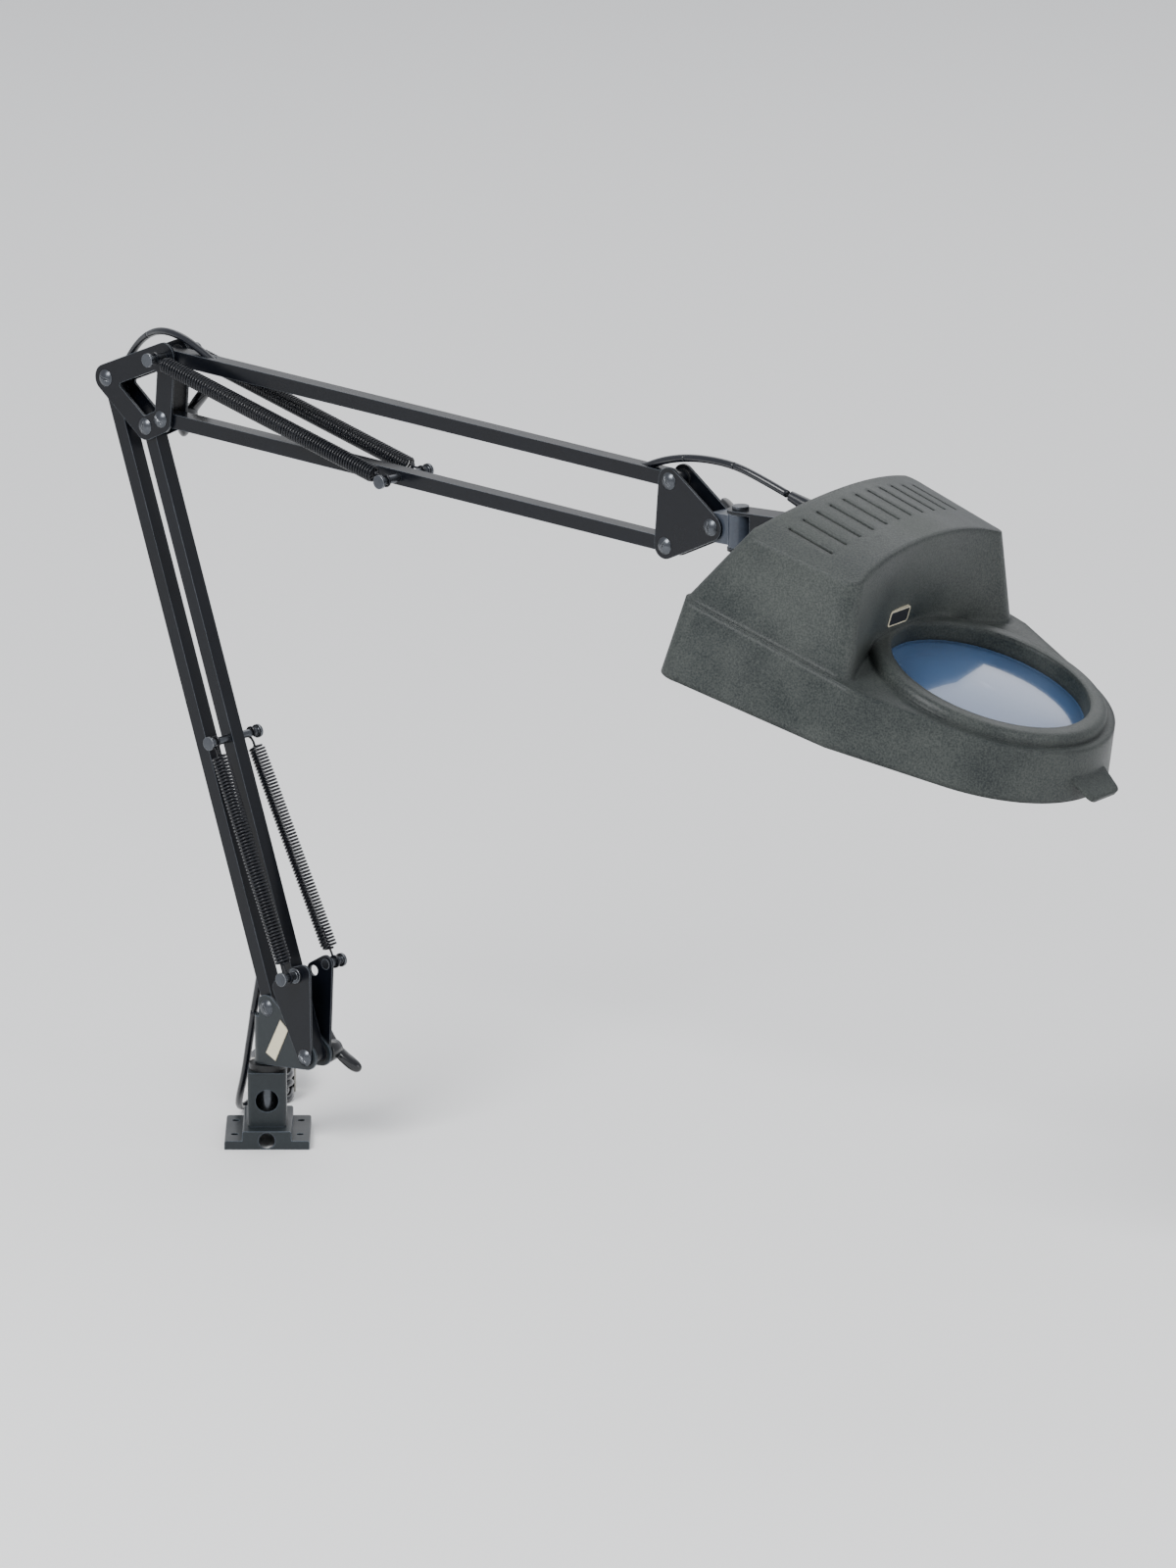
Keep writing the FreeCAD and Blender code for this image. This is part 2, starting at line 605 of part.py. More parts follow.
# ---- elbow ---------------------------------------------------------------
def elbow_plate(y0):
    """One side plate of the elbow, with its triangular window."""
    side = plate([ELBOW_L, ELBOW_BL, ELBOW_BR, ELBOW_TR], CORNER_R + 0.5, y0, y0 + PLATE_SHEET)
    middle = (ELBOW_L + ELBOW_BL + ELBOW_BR + ELBOW_TR) * 0.25
    corners = [ELBOW_L, ELBOW_BL, ELBOW_BR, ELBOW_TR]
    window = plate([middle + (c - middle) * WINDOW_SHARE for c in corners], 1.5, y0 - 1, y0 + PLATE_SHEET + 1)
    side = side.cut(window)
    for at in (ELBOW_L, ELBOW_BL, ELBOW_BR):
        side = side.cut(cross_rod(SCREW_R + SCREW_RUN, at, y0 - 1, y0 + PLATE_SHEET + 1))
    return side.cut(cross_rod(SPRING_PIN_R + SCREW_RUN, ELBOW_TR, y0 - 1, y0 + PLATE_SHEET + 1))


def build_elbow():
    """Plates, screws, washers, the long spring pin and the wing knob of the elbow."""
    write("elbow_plate_near", on_arm(elbow_plate(-PLATE_OUT)))
    write("elbow_plate_far", on_arm(elbow_plate(PLATE_IN)))
    screws = list(pivot_screw(ELBOW_L, -PLATE_OUT, PLATE_OUT, 15))
    screws.extend(pivot_screw(ELBOW_BL, -PLATE_OUT, PLATE_OUT, 100))
    screws.append(knob_screw(ELBOW_BR, -PLATE_OUT, PLATE_OUT, 40))
    write("elbow_screws", [on_arm(s) for s in screws])
    write("elbow_spring_pin", on_arm(spring_pin(ELBOW_TR)))
    rings = washers(ELBOW_L) + washers(ELBOW_BL) + washers(ELBOW_BR) + washers(ELBOW_TR)
    write("elbow_washers", [on_arm(s) for s in rings])
    write("elbow_knob", on_arm(wing_knob(ELBOW_BR, ELBOW_KNOB_TURN)))


# ---- springs -------------------------------------------------------------
def spring_eye(at, y):
    """The open eye at a spring's end, round a pin."""
    inner = SPRING_PIN_R + EYE_RUN
    half = SPRING_WIRE / 2
    return cross_rod(inner + SPRING_WIRE, at, y - half, y + half).cut(cross_rod(inner, at, y - 2, y + 2))


def spring_coil(pin, stud, y, end_gap):
    """The wound part of a spring with the eye that holds it to its pin."""
    along = (stud - pin).normalize()
    shift = V(0, y, 0)
    start = pin + along * EYE_GAP + shift
    end = stud - along * end_gap + shift
    coil = rod(SPRING_OD / 2, start, end)
    coil = coil.cut(rod(SPRING_OD / 2 - SPRING_WIRE, start + along * SPRING_WIRE, end + along))
    neck = rod(SPRING_WIRE / 2, pin + along * (SPRING_PIN_R + SPRING_WIRE * 0.6) + shift, start + along * 0.5)
    return coil.fuse(neck).fuse(spring_eye(pin, y))


def spring_hook(stud, pin, y, depth):
    """The other end of a spring: an eye and a straight shank that reaches up inside the coil."""
    along = (pin - stud).normalize()
    shift = V(0, y, 0)
    foot = stud + along * (SPRING_PIN_R + SPRING_WIRE * 0.6) + shift
    shank = rod(SPRING_WIRE / 2, foot, stud + along * (EYE_GAP + depth) + shift)
    return spring_eye(stud, y).fuse(shank)


def build_springs():
    """Two pairs of tension springs, each as its coil and its sliding end hook."""
    lower = (("near", EAR_NEAR, -SPRING_Y), ("far", EAR_FAR, SPRING_Y))
    for side, stud, y in lower:
        write("lower_spring_" + side, on_arm(spring_coil(LOWER_SPRING_PIN, stud, y, EYE_GAP)))
        write("lower_hook_" + side, on_arm(spring_hook(stud, LOWER_SPRING_PIN, y, SHANK_IN)))
    hooks = []
    for side, y in (("near", -SPRING_Y), ("far", SPRING_Y)):
        write("upper_spring_" + side, on_arm(spring_coil(UPPER_SPRING_PIN, ELBOW_TR, y, EYE_GAP)))
        hooks.append(on_arm(spring_hook(ELBOW_TR, UPPER_SPRING_PIN, y, UPPER_SHANK_IN)))
    write("upper_hooks", hooks)


# ---- held cords ----------------------------------------------------------
def build_held_cords():
    """The cord where it shows at the base, the elbow and the head."""
    write("base_cord", on_arm(cord(BASE_CORD, report="base cord")).cut(cord(MAINS_CORD)))
    first = cord(ELBOW_CORD[:ELBOW_CORD_CUT + 1], report="elbow cord, upper")
    second = cord(ELBOW_CORD[ELBOW_CORD_CUT:], report="elbow cord, lower")
    write("elbow_cord_upper", on_arm(first))
    write("elbow_cord_lower", on_arm(second.cut(first)))
    low, high = HEAD_CORD_CUTS
    rear = cord(HEAD_CORD[:low + 1], report="head cord, rear")
    middle = cord(HEAD_CORD[low:high + 1], report="head cord, middle").cut(rear)
    front = cord(HEAD_CORD[high:], report="head cord, front").cut(middle)
    write("head_cord_rear", on_arm(rear))
    write("head_cord_middle", on_arm(middle))
    write("head_cord_front", on_arm(front))


# ---- head bracket, knuckle and neck --------------------------------------
def build_head_bracket():
    """The two triangular plates at the end of the upper arm."""
    sides = []
    for y0 in (-PLATE_OUT, PLATE_IN):
        side = plate([HEAD_H2, HEAD_H3, HEAD_H1], CORNER_R, y0, y0 + PLATE_SHEET)
        for at in (HEAD_H1, HEAD_H2, HEAD_H3):
            side = side.cut(cross_rod(SCREW_R + SCREW_RUN, at, y0 - 1, y0 + PLATE_SHEET + 1))
        sides.append(on_arm(side))
    write("head_plates", sides)
    screws = list(pivot_screw(HEAD_H1, -PLATE_OUT, PLATE_OUT, 60))
    screws.extend(pivot_screw(HEAD_H2, -PLATE_OUT, PLATE_OUT, 120))
    screws.append(knob_screw(HEAD_H3, -PLATE_OUT, PLATE_OUT, 85))
    write("head_screws", [on_arm(s) for s in screws])
    write("head_washers", [on_arm(s) for s in washers(HEAD_H1) + washers(HEAD_H2)])
    write("head_knob", on_arm(wing_knob(HEAD_H3, HEAD_KNOB_TURN)))


def tilt_knuckle():
    """The block that tilts on the last pivot and holds the upright swivel post."""
    hub = cross_rod(TILT_R, HEAD_H3, -KNUCKLE_HALF, KNUCKLE_HALF)
    reach = block((HEAD_H3.x, POST.x), (-KNUCKLE_HALF, KNUCKLE_HALF),
                  (POST.z - KNUCKLE_HIGH + 1, POST.z + KNUCKLE_HIGH - 1))
    eye = rod(EYE_R, V(POST.x, 0, POST.z - KNUCKLE_HIGH), V(POST.x, 0, POST.z + KNUCKLE_HIGH))
    body = hub.fuse(reach).fuse(eye).removeSplitter()
    body = body.cut(cross_rod(SCREW_R + SCREW_RUN, HEAD_H3, -20, 20))
    return body.cut(rod(POST_R + PIN_RUN, V(POST.x, 0, POST.z - 20), V(POST.x, 0, POST.z + 20)))


def rear_wall_point(height):
    """The a-coordinate of the hood's rear wall at a height above the lens centre."""
    slope = 16.0 / 42.5
    return -136.0 - slope * (54.5 - height)


NECK_ATTACH_H = 29.0
FLANGE_HALF = 17.0
FLANGE_HIGH = 10.5


def neck_bracket():
    """The folded neck: two tabs about the post, a web, a channel and a flange on the hood."""
    heading = HEADING
    tab_low = KNUCKLE_HIGH + NECK_GAP
    tab_high = tab_low + NECK_SHEET
    shapes = []
    for z in ((tab_low, tab_high), (-tab_high, -tab_low)):
        tab = block((0, NECK_WEB), (-NECK_HALF, NECK_HALF), z)
        shapes.append(tab.fuse(rod(NECK_HALF, V(0, 0, z[0]), V(0, 0, z[1]))))
    web = block((NECK_WEB - NECK_SHEET, NECK_WEB), (-NECK_HALF, NECK_HALF), (-tab_high, tab_high))
    end = HEAD.multVec(V(rear_wall_point(NECK_ATTACH_H), 0, NECK_ATTACH_H))
    reach = heading.inverse().multVec(end)
    channel = block((NECK_WEB - NECK_SHEET, reach.x + 6), (-NECK_HALF, NECK_HALF), (-tab_high, tab_high))
    hollow = block((NECK_WEB, reach.x + 7), (-NECK_HALF + NECK_SHEET, NECK_HALF - NECK_SHEET),
                   (-tab_high - 1, tab_high - NECK_SHEET))
    body = shapes[0].fuse(shapes[1]).fuse(web).fuse(channel.cut(hollow))
    body.Placement = heading
    flange_tilt = math.degrees(math.atan2(16.0, 42.5))
    flange = block((-NECK_SHEET, 0), (-FLANGE_HALF, FLANGE_HALF), (-FLANGE_HIGH, FLANGE_HIGH))
    flange.rotate(V(0, 0, 0), ACROSS, flange_tilt)
    flange.translate(V(rear_wall_point(NECK_ATTACH_H), 0, NECK_ATTACH_H))
    keep = block((-400, 0), (-60, 60), (-90, 90))
    keep.rotate(V(0, 0, 0), ACROSS, flange_tilt)
    keep.translate(V(rear_wall_point(NECK_ATTACH_H), 0, NECK_ATTACH_H))
    body = body.common(on_head(keep)).fuse(on_head(flange)).removeSplitter()
    post = ARM.multVec(POST)
    return body.cut(rod(POST_R + PIN_RUN, post - UP * 20, post + UP * 20))


def build_neck():
    """Knuckle, post and neck."""
    write("tilt_knuckle", on_arm(tilt_knuckle()))
    post = ARM.multVec(POST)
    tab_high = KNUCKLE_HIGH + NECK_GAP + NECK_SHEET
    bar = rod(POST_R, post - UP * (tab_high + 1.8), post + UP * tab_high)
    cap = rod(POST_R + 2, post + UP * tab_high, post + UP * (tab_high + 2.2))
    clip = rod(POST_R + 1.6, post - UP * (tab_high + 1.5), post - UP * tab_high)
    write("swivel_post", bar.fuse(cap).fuse(clip).removeSplitter())
    write("neck_bracket", neck_bracket())


# ---- hood ----------------------------------------------------------------
def ring_section(rear_a, rear_half, side_a, side_half, front_r, corner, heights):
    """A closed outline about the lens: straight rear, rounded rear corners, round front.

    heights gives the level at the rear and at the front of a sloping section.
    """
    def level(a):
        share = (a - rear_a) / (front_r - rear_a)
        return heights[0] + (heights[1] - heights[0]) * share

    def at(a, b):
        return V(a, b, level(a))

    distance = math.hypot(side_a, side_half)
    base = math.atan2(side_half, side_a)
    touch = base - math.acos(front_r / distance)
    tangent = (front_r * math.cos(touch), front_r * math.sin(touch))
    slope = math.atan2(rear_half - side_half, side_a - rear_a)
    c = corner
    start_side = (rear_a + c * math.cos(slope), rear_half - c * math.sin(slope))
    bend = (rear_a + 0.25 * c, rear_half - 0.25 * c)
    edges = []
    left = [at(rear_a, rear_half - c), at(bend[0], bend[1]), at(start_side[0], start_side[1]),
            at(side_a, side_half), at(tangent[0], tangent[1])]
    right = [V(p.x, -p.y, p.z) for p in left]
    edges.append(Part.LineSegment(right[0], left[0]).toShape())
    edges.append(Part.Arc(left[0], left[1], left[2]).toShape())
    edges.append(Part.LineSegment(left[2], left[3]).toShape())
    edges.append(Part.LineSegment(left[3], left[4]).toShape())
    edges.append(Part.Arc(left[4], at(front_r, 0), right[4]).toShape())
    edges.append(Part.LineSegment(right[4], right[3]).toShape())
    edges.append(Part.LineSegment(right[3], right[2]).toShape())
    edges.append(Part.Arc(right[2], right[1], right[0]).toShape())
    return Part.Wire(edges)


def box_section(rear_a, rear_half, front_a, front_half, belly, corner, height):
    """The outline of the lamp housing at one height: four sides, the front one curved."""
    c = corner
    slope = math.atan2(rear_half - front_half, front_a - rear_a)
    turn = (math.cos(slope), math.sin(slope))
    left = [V(rear_a, rear_half - c, height), V(rear_a + 0.25 * c, rear_half - 0.25 * c, height),
            V(rear_a + c * turn[0], rear_half - c * turn[1], height),
            V(front_a - c * turn[0], front_half + c * turn[1], height),
            V(front_a - 0.1 * c, front_half - 0.25 * c, height), V(front_a, front_half - c, height)]
    right = [V(p.x, -p.y, p.z) for p in left]
    edges = [Part.LineSegment(right[0], left[0]).toShape(), Part.Arc(left[0], left[1], left[2]).toShape(),
             Part.LineSegment(left[2], left[3]).toShape(), Part.Arc(left[3], left[4], left[5]).toShape(),
             Part.Arc(left[5], V(belly, 0, height), right[5]).toShape(),
             Part.Arc(right[5], right[4], right[3]).toShape(),
             Part.LineSegment(right[3], right[2]).toShape(), Part.Arc(right[2], right[1], right[0]).toShape()]
    return Part.Wire(edges)


def skirt(inset):
    """The flared skirt below the shelf, drawn in by a wall."""
    low = (RIM_REAR_H, RIM_FRONT_H)
    top = SHELF_H - (HOOD_WALL if inset else 0)
    lower = ring_section(-149.5 + inset, 118.0 - inset, -36.0, 104.0 - inset, 84.0 - inset, 16.0, low)
    upper = ring_section(-154.6 + inset, 105.0 - inset, -36.0, 98.0 - inset, 78.0 - inset, 10.0, (top, top))
    return Part.makeLoft([lower, upper], True, True)


def housing(inset):
    """The raised lamp housing behind the lens, with its crowned top."""
    base = SHELF_H - (8.0 if inset else 1.0)
    lower = box_section(-154.0 + inset, 104.0 - inset, -42.0 - inset, 94.8 - inset, -63.0 - inset,
                        HOUSING_CORNER, base)
    upper = box_section(-129.4 + inset, 86.8 - inset, -66.0 - inset, 79.8 - inset, -66.6 - inset,
                        HOUSING_CORNER, TOP_H)
    body = Part.makeLoft([lower, upper], True, True)
    crown = CROWN_R - inset
    drum = rod(crown, V(-200, 0, CROWN_H - CROWN_R), V(0, 0, CROWN_H - CROWN_R))
    return body.common(drum)


def front_tab():
    """The flared finger tab under the front of the rim."""
    root, tip = TAB_HALF
    corners = [V(0, -root, 0), V(TAB_LONG, -tip, 0), V(TAB_LONG, tip, 0), V(0, root, 0)]
    tab = Part.Face(Part.makePolygon(corners + [corners[0]])).extrude(UP * TAB_THICK)
    ends = [e for e in tab.Edges if e.BoundBox.XMin > TAB_LONG - 0.01 and e.BoundBox.ZLength > 1]
    tab = tab.makeFillet(5.0, ends)
    tab.rotate(V(0, 0, 0), ACROSS, TAB_DROP)
    tab.translate(TAB_ROOT)
    return tab


def hood_shell():
    """The one-piece moulded hood: housing, shelf with the lens opening, bead and skirt."""
    bead = rod(BEAD_R, V(0, 0, SHELF_H - 1), V(0, 0, BEAD_H))
    crest = [e for e in bead.Edges if e.BoundBox.ZMin > BEAD_H - 0.01 and e.BoundBox.XLength > 1]
    bead = bead.makeFillet(4.0, crest)
    outer = skirt(0).fuse(housing(0)).fuse(bead).fuse(front_tab())
    shell = outer.cut(skirt(HOOD_WALL)).cut(housing(HOOD_WALL))
    seat_top = LENS_BASE + LENS_EDGE
    shell = shell.fuse(rod(SEAT_R + SEAT_WALL, V(0, 0, LENS_BASE), V(0, 0, SHELF_H - 1)))
    shell = shell.cut(rod(LENS_OPEN_R, V(0, 0, -60), V(0, 0, BEAD_H + 1)))
    shell = shell.cut(rod(SEAT_R, V(0, 0, -60), V(0, 0, seat_top)))
    for k in range(VENT_COUNT):
        b = (k - (VENT_COUNT - 1) / 2) * VENT_PITCH
        shell = shell.cut(block(VENT_A, (b - VENT_WIDE / 2, b + VENT_WIDE / 2), (30, 90)))
    return shell.removeSplitter()


def lens():
    """A double convex magnifying glass."""
    clear_r = LENS_OPEN_R - 1.5
    ball_r = (clear_r ** 2 + LENS_SAG ** 2) / (2 * LENS_SAG)
    edge_top = LENS_BASE + LENS_EDGE
    upper = Part.makeSphere(ball_r, V(0, 0, edge_top + LENS_SAG - ball_r))
    lower = Part.makeSphere(ball_r, V(0, 0, LENS_BASE - LENS_SAG + ball_r))
    middle = rod(clear_r, V(0, 0, LENS_BASE - 20), V(0, 0, edge_top + 20))
    edge = rod(LENS_R, V(0, 0, LENS_BASE), V(0, 0, edge_top))
    return edge.fuse(middle.common(upper).common(lower)).removeSplitter()


def retainer():
    """The ring under the lens and the six screws that hold it."""
    outer = SEAT_R + SEAT_WALL
    ring = tube(outer, LENS_OPEN_R - 1, V(0, 0, LENS_BASE - RETAINER_THICK), V(0, 0, LENS_BASE))
    screws = []
    way = SEAT_R + SEAT_WALL / 2
    for k in range(6):
        turn = math.radians(60 * k + 30)
        at = V(way * math.cos(turn), way * math.sin(turn), LENS_BASE - RETAINER_THICK)
        ring = ring.cut(rod(0.95, at - UP, at + UP * 9))
        head = rod(1.9, at - UP * 1.4, at)
        screws.append(head.fuse(rod(0.9, at, at + UP * RETAINER_THICK)))
    return ring, screws


def switch_parts():
    """The rocker switch on the rear wall: its body, and its rocker."""
    height = 30.0
    a = rear_wall_point(height)
    tilt = math.degrees(math.atan2(16.0, 42.5))
    frame = block((-1.6, 0), (-8.0, 8.0), (-11.5, 11.5)).fuse(block((0, 17), (-6.4, 6.4), (-9.6, 9.6)))
    frame = frame.cut(block((-3, 9), (-4.6, 4.6), (-7.2, 7.2)))
    core = block((-2.2, 4.6), (-4.2, 4.2), (-5.4, 5.4))
    core = core.cut(block((-9, 0), (-6, 6), (0, 12)).translated(V(-1.2, 0, 0)))
    axle = rod(1.0, V(4.6, -4.2, 0), V(4.6, 4.2, 0))
    rocker = core.fuse(axle).removeSplitter()
    cutter = block((-5, 18), (-6.5, 6.5), (-9.7, 9.7))
    placed = []
    for shape in (frame, rocker, cutter):
        shape.rotate(V(0, 0, 0), ACROSS, tilt)
        shape.translate(V(a, SWITCH_B, height))
        placed.append(shape)
    return placed


def bulb():
    """A pear-shaped lamp bulb lying across the hood, with its screw cap."""
    start = SOCKET_B[1] + 1
    profile = [V(0, start, 0), V(13.2, start, 0)]
    edges = [Part.LineSegment(profile[0], profile[1]).toShape()]
    shoulder = V(13.2, start + 8, 0)
    edges.append(Part.LineSegment(profile[1], shoulder).toShape())
    belly = V(BULB_R, start + 50, 0)
    tip = V(0, start + 50 + BULB_R, 0)
    edges.append(Part.Arc(shoulder, V(20.5, start + 27, 0), belly).toShape())
    half = BULB_R * math.sqrt(0.5)
    edges.append(Part.Arc(belly, V(half, start + 50 + half, 0), tip).toShape())
    edges.append(Part.LineSegment(tip, profile[0]).toShape())
    solid = Part.Face(Part.Wire(edges)).revolve(V(0, 0, 0), ACROSS, 360)
    cap = rod(12.9, V(0, start - 22, 0), V(0, start, 0))
    both = solid.fuse(cap).removeSplitter()
    both.translate(V(BULB_A, 0, BULB_H))
    return both


def build_hood():
    """Hood, lens, retainer, lamp, reflector, switch, strain relief and wiring."""
    shell = hood_shell()
    frame, rocker, cutter = switch_parts()
    relief_at = V(rear_wall_point(47.5), 0, 47.5)
    relief_end = relief_at - V(22, 0, 0)
    relief = Part.makeCone(5.2, 3.1, 22, relief_at, V(-1, 0, 0))
    collar = rod(6.2, relief_at - V(2.2, 0, 0), relief_at + V(HOOD_WALL * 0.2, 0, 0))
    relief = relief.fuse(collar).fuse(rod(4.0, relief_at, relief_at + V(10, 0, 0)))
    shell = shell.cut(cutter).cut(rod(4.05, relief_at - V(8, 0, 0), relief_at + V(8, 0, 0)))
    shell = shell.cut(collar)
    cord_in = cord([ARM.multVec(p) for p in HEAD_CORD[-3:]], CORD_R + 0.05)
    relief = on_head(relief.removeSplitter()).cut(cord_in)
    write("hood", on_head(shell))
    write("switch_frame", on_head(frame))
    write("switch_rocker", on_head(rocker))
    write("strain_relief", relief)
    write("lens", on_head(lens()))
    ring, screws = retainer()
    write("lens_retainer", on_head(ring))
    write("retainer_screws", [on_head(s) for s in screws])
    write("bulb", on_head(bulb()))
    centre = V(BULB_A, 0, BULB_H)
    mouth = V(BULB_A, SOCKET_B[1], BULB_H)
    back = V(BULB_A, SOCKET_B[0], BULB_H)
    socket = rod(SOCKET_R, back, mouth).cut(rod(13.3, V(BULB_A, SOCKET_B[1] - 24, BULB_H), mouth + ACROSS))
    write("lamp_socket", on_head(socket))
    strap = block((BULB_A - 14, BULB_A + 14), (SOCKET_B[0] - 2.5, SOCKET_B[0]), (BULB_H - 14, 60))
    strap = strap.common(housing(HOOD_WALL + SEAT_GAP))
    write("socket_strap", on_head(strap))
    dish = tube(REFLECTOR_R + 0.8, REFLECTOR_R, centre - ACROSS * 32, centre + ACROSS * REFLECTOR_END)
    dish = dish.common(block((-400, 0), (-100, 100), (BULB_H + 6, 80)))
    tab = block((BULB_A - 8, BULB_A + 8), (20, 32), (BULB_H + REFLECTOR_R + 0.4, 90))
    tab = tab.common(housing(HOOD_WALL + SEAT_GAP))
    write("reflector", on_head(dish.fuse(tab).removeSplitter()))


os.makedirs("parts", exist_ok=True)
build_bracket()
build_mains_cord()
build_yoke()
build_arms()
build_elbow()
build_springs()
build_held_cords()
build_head_bracket()
build_neck()
build_hood()
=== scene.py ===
"""Looks of a bench-mounted swing-arm magnifier lamp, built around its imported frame."""
from __future__ import annotations

import json
import logging
import math
from dataclasses import dataclass, field
from enum import Enum

import bmesh
import bpy
import numpy as np
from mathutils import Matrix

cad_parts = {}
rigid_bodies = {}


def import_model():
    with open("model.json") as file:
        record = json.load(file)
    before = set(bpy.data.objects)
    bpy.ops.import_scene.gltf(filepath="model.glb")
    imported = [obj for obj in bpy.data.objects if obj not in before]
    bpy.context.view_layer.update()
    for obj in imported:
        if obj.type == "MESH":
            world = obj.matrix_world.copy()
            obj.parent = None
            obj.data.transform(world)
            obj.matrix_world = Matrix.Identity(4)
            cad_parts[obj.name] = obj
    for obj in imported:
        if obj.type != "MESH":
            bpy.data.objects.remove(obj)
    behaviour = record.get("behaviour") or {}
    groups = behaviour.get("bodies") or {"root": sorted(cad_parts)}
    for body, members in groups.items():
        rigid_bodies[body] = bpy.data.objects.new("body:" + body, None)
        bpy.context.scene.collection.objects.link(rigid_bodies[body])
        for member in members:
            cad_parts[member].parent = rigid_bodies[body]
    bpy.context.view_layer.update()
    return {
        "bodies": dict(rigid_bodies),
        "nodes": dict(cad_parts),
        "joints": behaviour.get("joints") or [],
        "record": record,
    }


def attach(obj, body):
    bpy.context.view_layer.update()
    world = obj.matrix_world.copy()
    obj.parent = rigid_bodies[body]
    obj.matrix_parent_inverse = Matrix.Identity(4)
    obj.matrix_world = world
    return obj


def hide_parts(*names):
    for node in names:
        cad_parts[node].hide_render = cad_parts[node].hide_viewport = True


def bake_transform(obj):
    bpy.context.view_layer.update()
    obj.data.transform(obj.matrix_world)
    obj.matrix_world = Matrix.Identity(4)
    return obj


LOG = logging.getLogger("lamp")
MM = 0.001
ARM_YAW = math.radians(-41.0)
HEAD_YAW = math.radians(-33.0)
HEAD_PITCH = math.radians(20.6)
LENS_CENTRE = np.array([426.3, -338.5, 363.3])
CORD_R = 2.3
WELD = 1e-7

Mesh = tuple[np.ndarray, np.ndarray]
Place = tuple[float, float, float]
Colour = tuple[float, float, float, float]

# Ring before the middle of a tube's flat end, as a share of the tube's radius.
CAP_RIM = 0.9

# Socket numbers of a colour Mix node.
MIX_SHARE, MIX_FIRST, MIX_SECOND = 0, 6, 7
MIX_RESULT = 2

# Grain and stain, as noise scales for each metre and their detail.
GRAIN_SCALE, GRAIN_DETAIL = 1000.0, 3.0
STAIN_SCALE, STAIN_DETAIL = 28.0, 4.0
STAIN_REACH, STAIN_FLOOR = 1.2, -0.1
SMEAR_SCALE, SMEAR_DETAIL = 22.0, 3.0
DRAWN_STRETCH = (1.0, 1.0, 0.15)

# Rounding of edges: samples, and the dot products at which the edge colour (rubbed wear with a painted
# highlight) starts and is full, and its gain.
BEVEL_SAMPLES = 4
WEAR_AND_HIGHLIGHT_STARTS, WEAR_AND_HIGHLIGHT_FULL, WEAR_AND_HIGHLIGHT_GAIN = 0.995, 0.86, 1.6


# ---- placing ---------------------------------------------------------------
def arm_point(points: np.ndarray) -> np.ndarray:
    """Turns points of the arm plane, in millimetres, into row metres.

    Args:
        points: Rows of X along the arm, Y across it and Z up.

    Returns:
        The same points turned about the upright axis by the arm's yaw, in metres.
    """
    p = np.atleast_2d(np.asarray(points, float))
    c, s = math.cos(ARM_YAW), math.sin(ARM_YAW)
    return np.column_stack([c * p[:, 0] - s * p[:, 1], s * p[:, 0] + c * p[:, 1], p[:, 2]]) * MM


def head_point(points: np.ndarray) -> np.ndarray:
    """Turns points of the hood, in millimetres about the lens centre, into row metres.

    Args:
        points: Rows of forward, sideways and upward distance.

    Returns:
        The points pitched, then yawed, then moved to the lens centre, in metres.
    """
    p = np.atleast_2d(np.asarray(points, float))
    cp, sp = math.cos(HEAD_PITCH), math.sin(HEAD_PITCH)
    x = cp * p[:, 0] + sp * p[:, 2]
    z = cp * p[:, 2] - sp * p[:, 0]
    c, s = math.cos(HEAD_YAW), math.sin(HEAD_YAW)
    turned = np.column_stack([c * x - s * p[:, 1], s * x + c * p[:, 1], z])
    return (turned + LENS_CENTRE) * MM


# ---- meshes ----------------------------------------------------------------
def mesh_object(name: str, verts: np.ndarray, faces: np.ndarray,
                smooth: bool = True) -> bpy.types.Object:
    """Puts vertex and quad arrays into a new mesh object at the origin.

    Points in one place, as where a ring is shrunk to a point, are welded into one.

    Args:
        name: Name of the piece.
        verts: Vertex rows in metres.
        faces: Rows of vertex numbers, all of one length.
        smooth: Whether its faces are shaded smooth.

    Returns:
        The new object, linked to the scene.
    """
    mesh = bpy.data.meshes.new(name)
    mesh.from_pydata(verts.tolist(), [], faces.tolist())
    shell = bmesh.new()
    shell.from_mesh(mesh)
    bmesh.ops.remove_doubles(shell, verts=shell.verts, dist=WELD)
    shell.to_mesh(mesh)
    shell.free()
    mesh.polygons.foreach_set("use_smooth", np.full(len(mesh.polygons), smooth))
    mesh.update()
    piece = bpy.data.objects.new(name, mesh)
    bpy.context.scene.collection.objects.link(piece)
    return piece


def grid_faces(rows: int, columns: int, start: int = 0) -> np.ndarray:
    """Numbers the quads of a grid that is open along its rows and closed round its columns.

    Args:
        rows: Count of rings.
        columns: Count of points in a ring.
        start: Number of the grid's first vertex.

    Returns:
        Quads, one row each.
    """
    i, j = np.meshgrid(np.arange(rows - 1), np.arange(columns), indexing="ij")
    a = i * columns + j
    b = i * columns + (j + 1) % columns
    return np.stack([a, b, b + columns, a + columns], axis=-1).reshape(-1, 4) + start


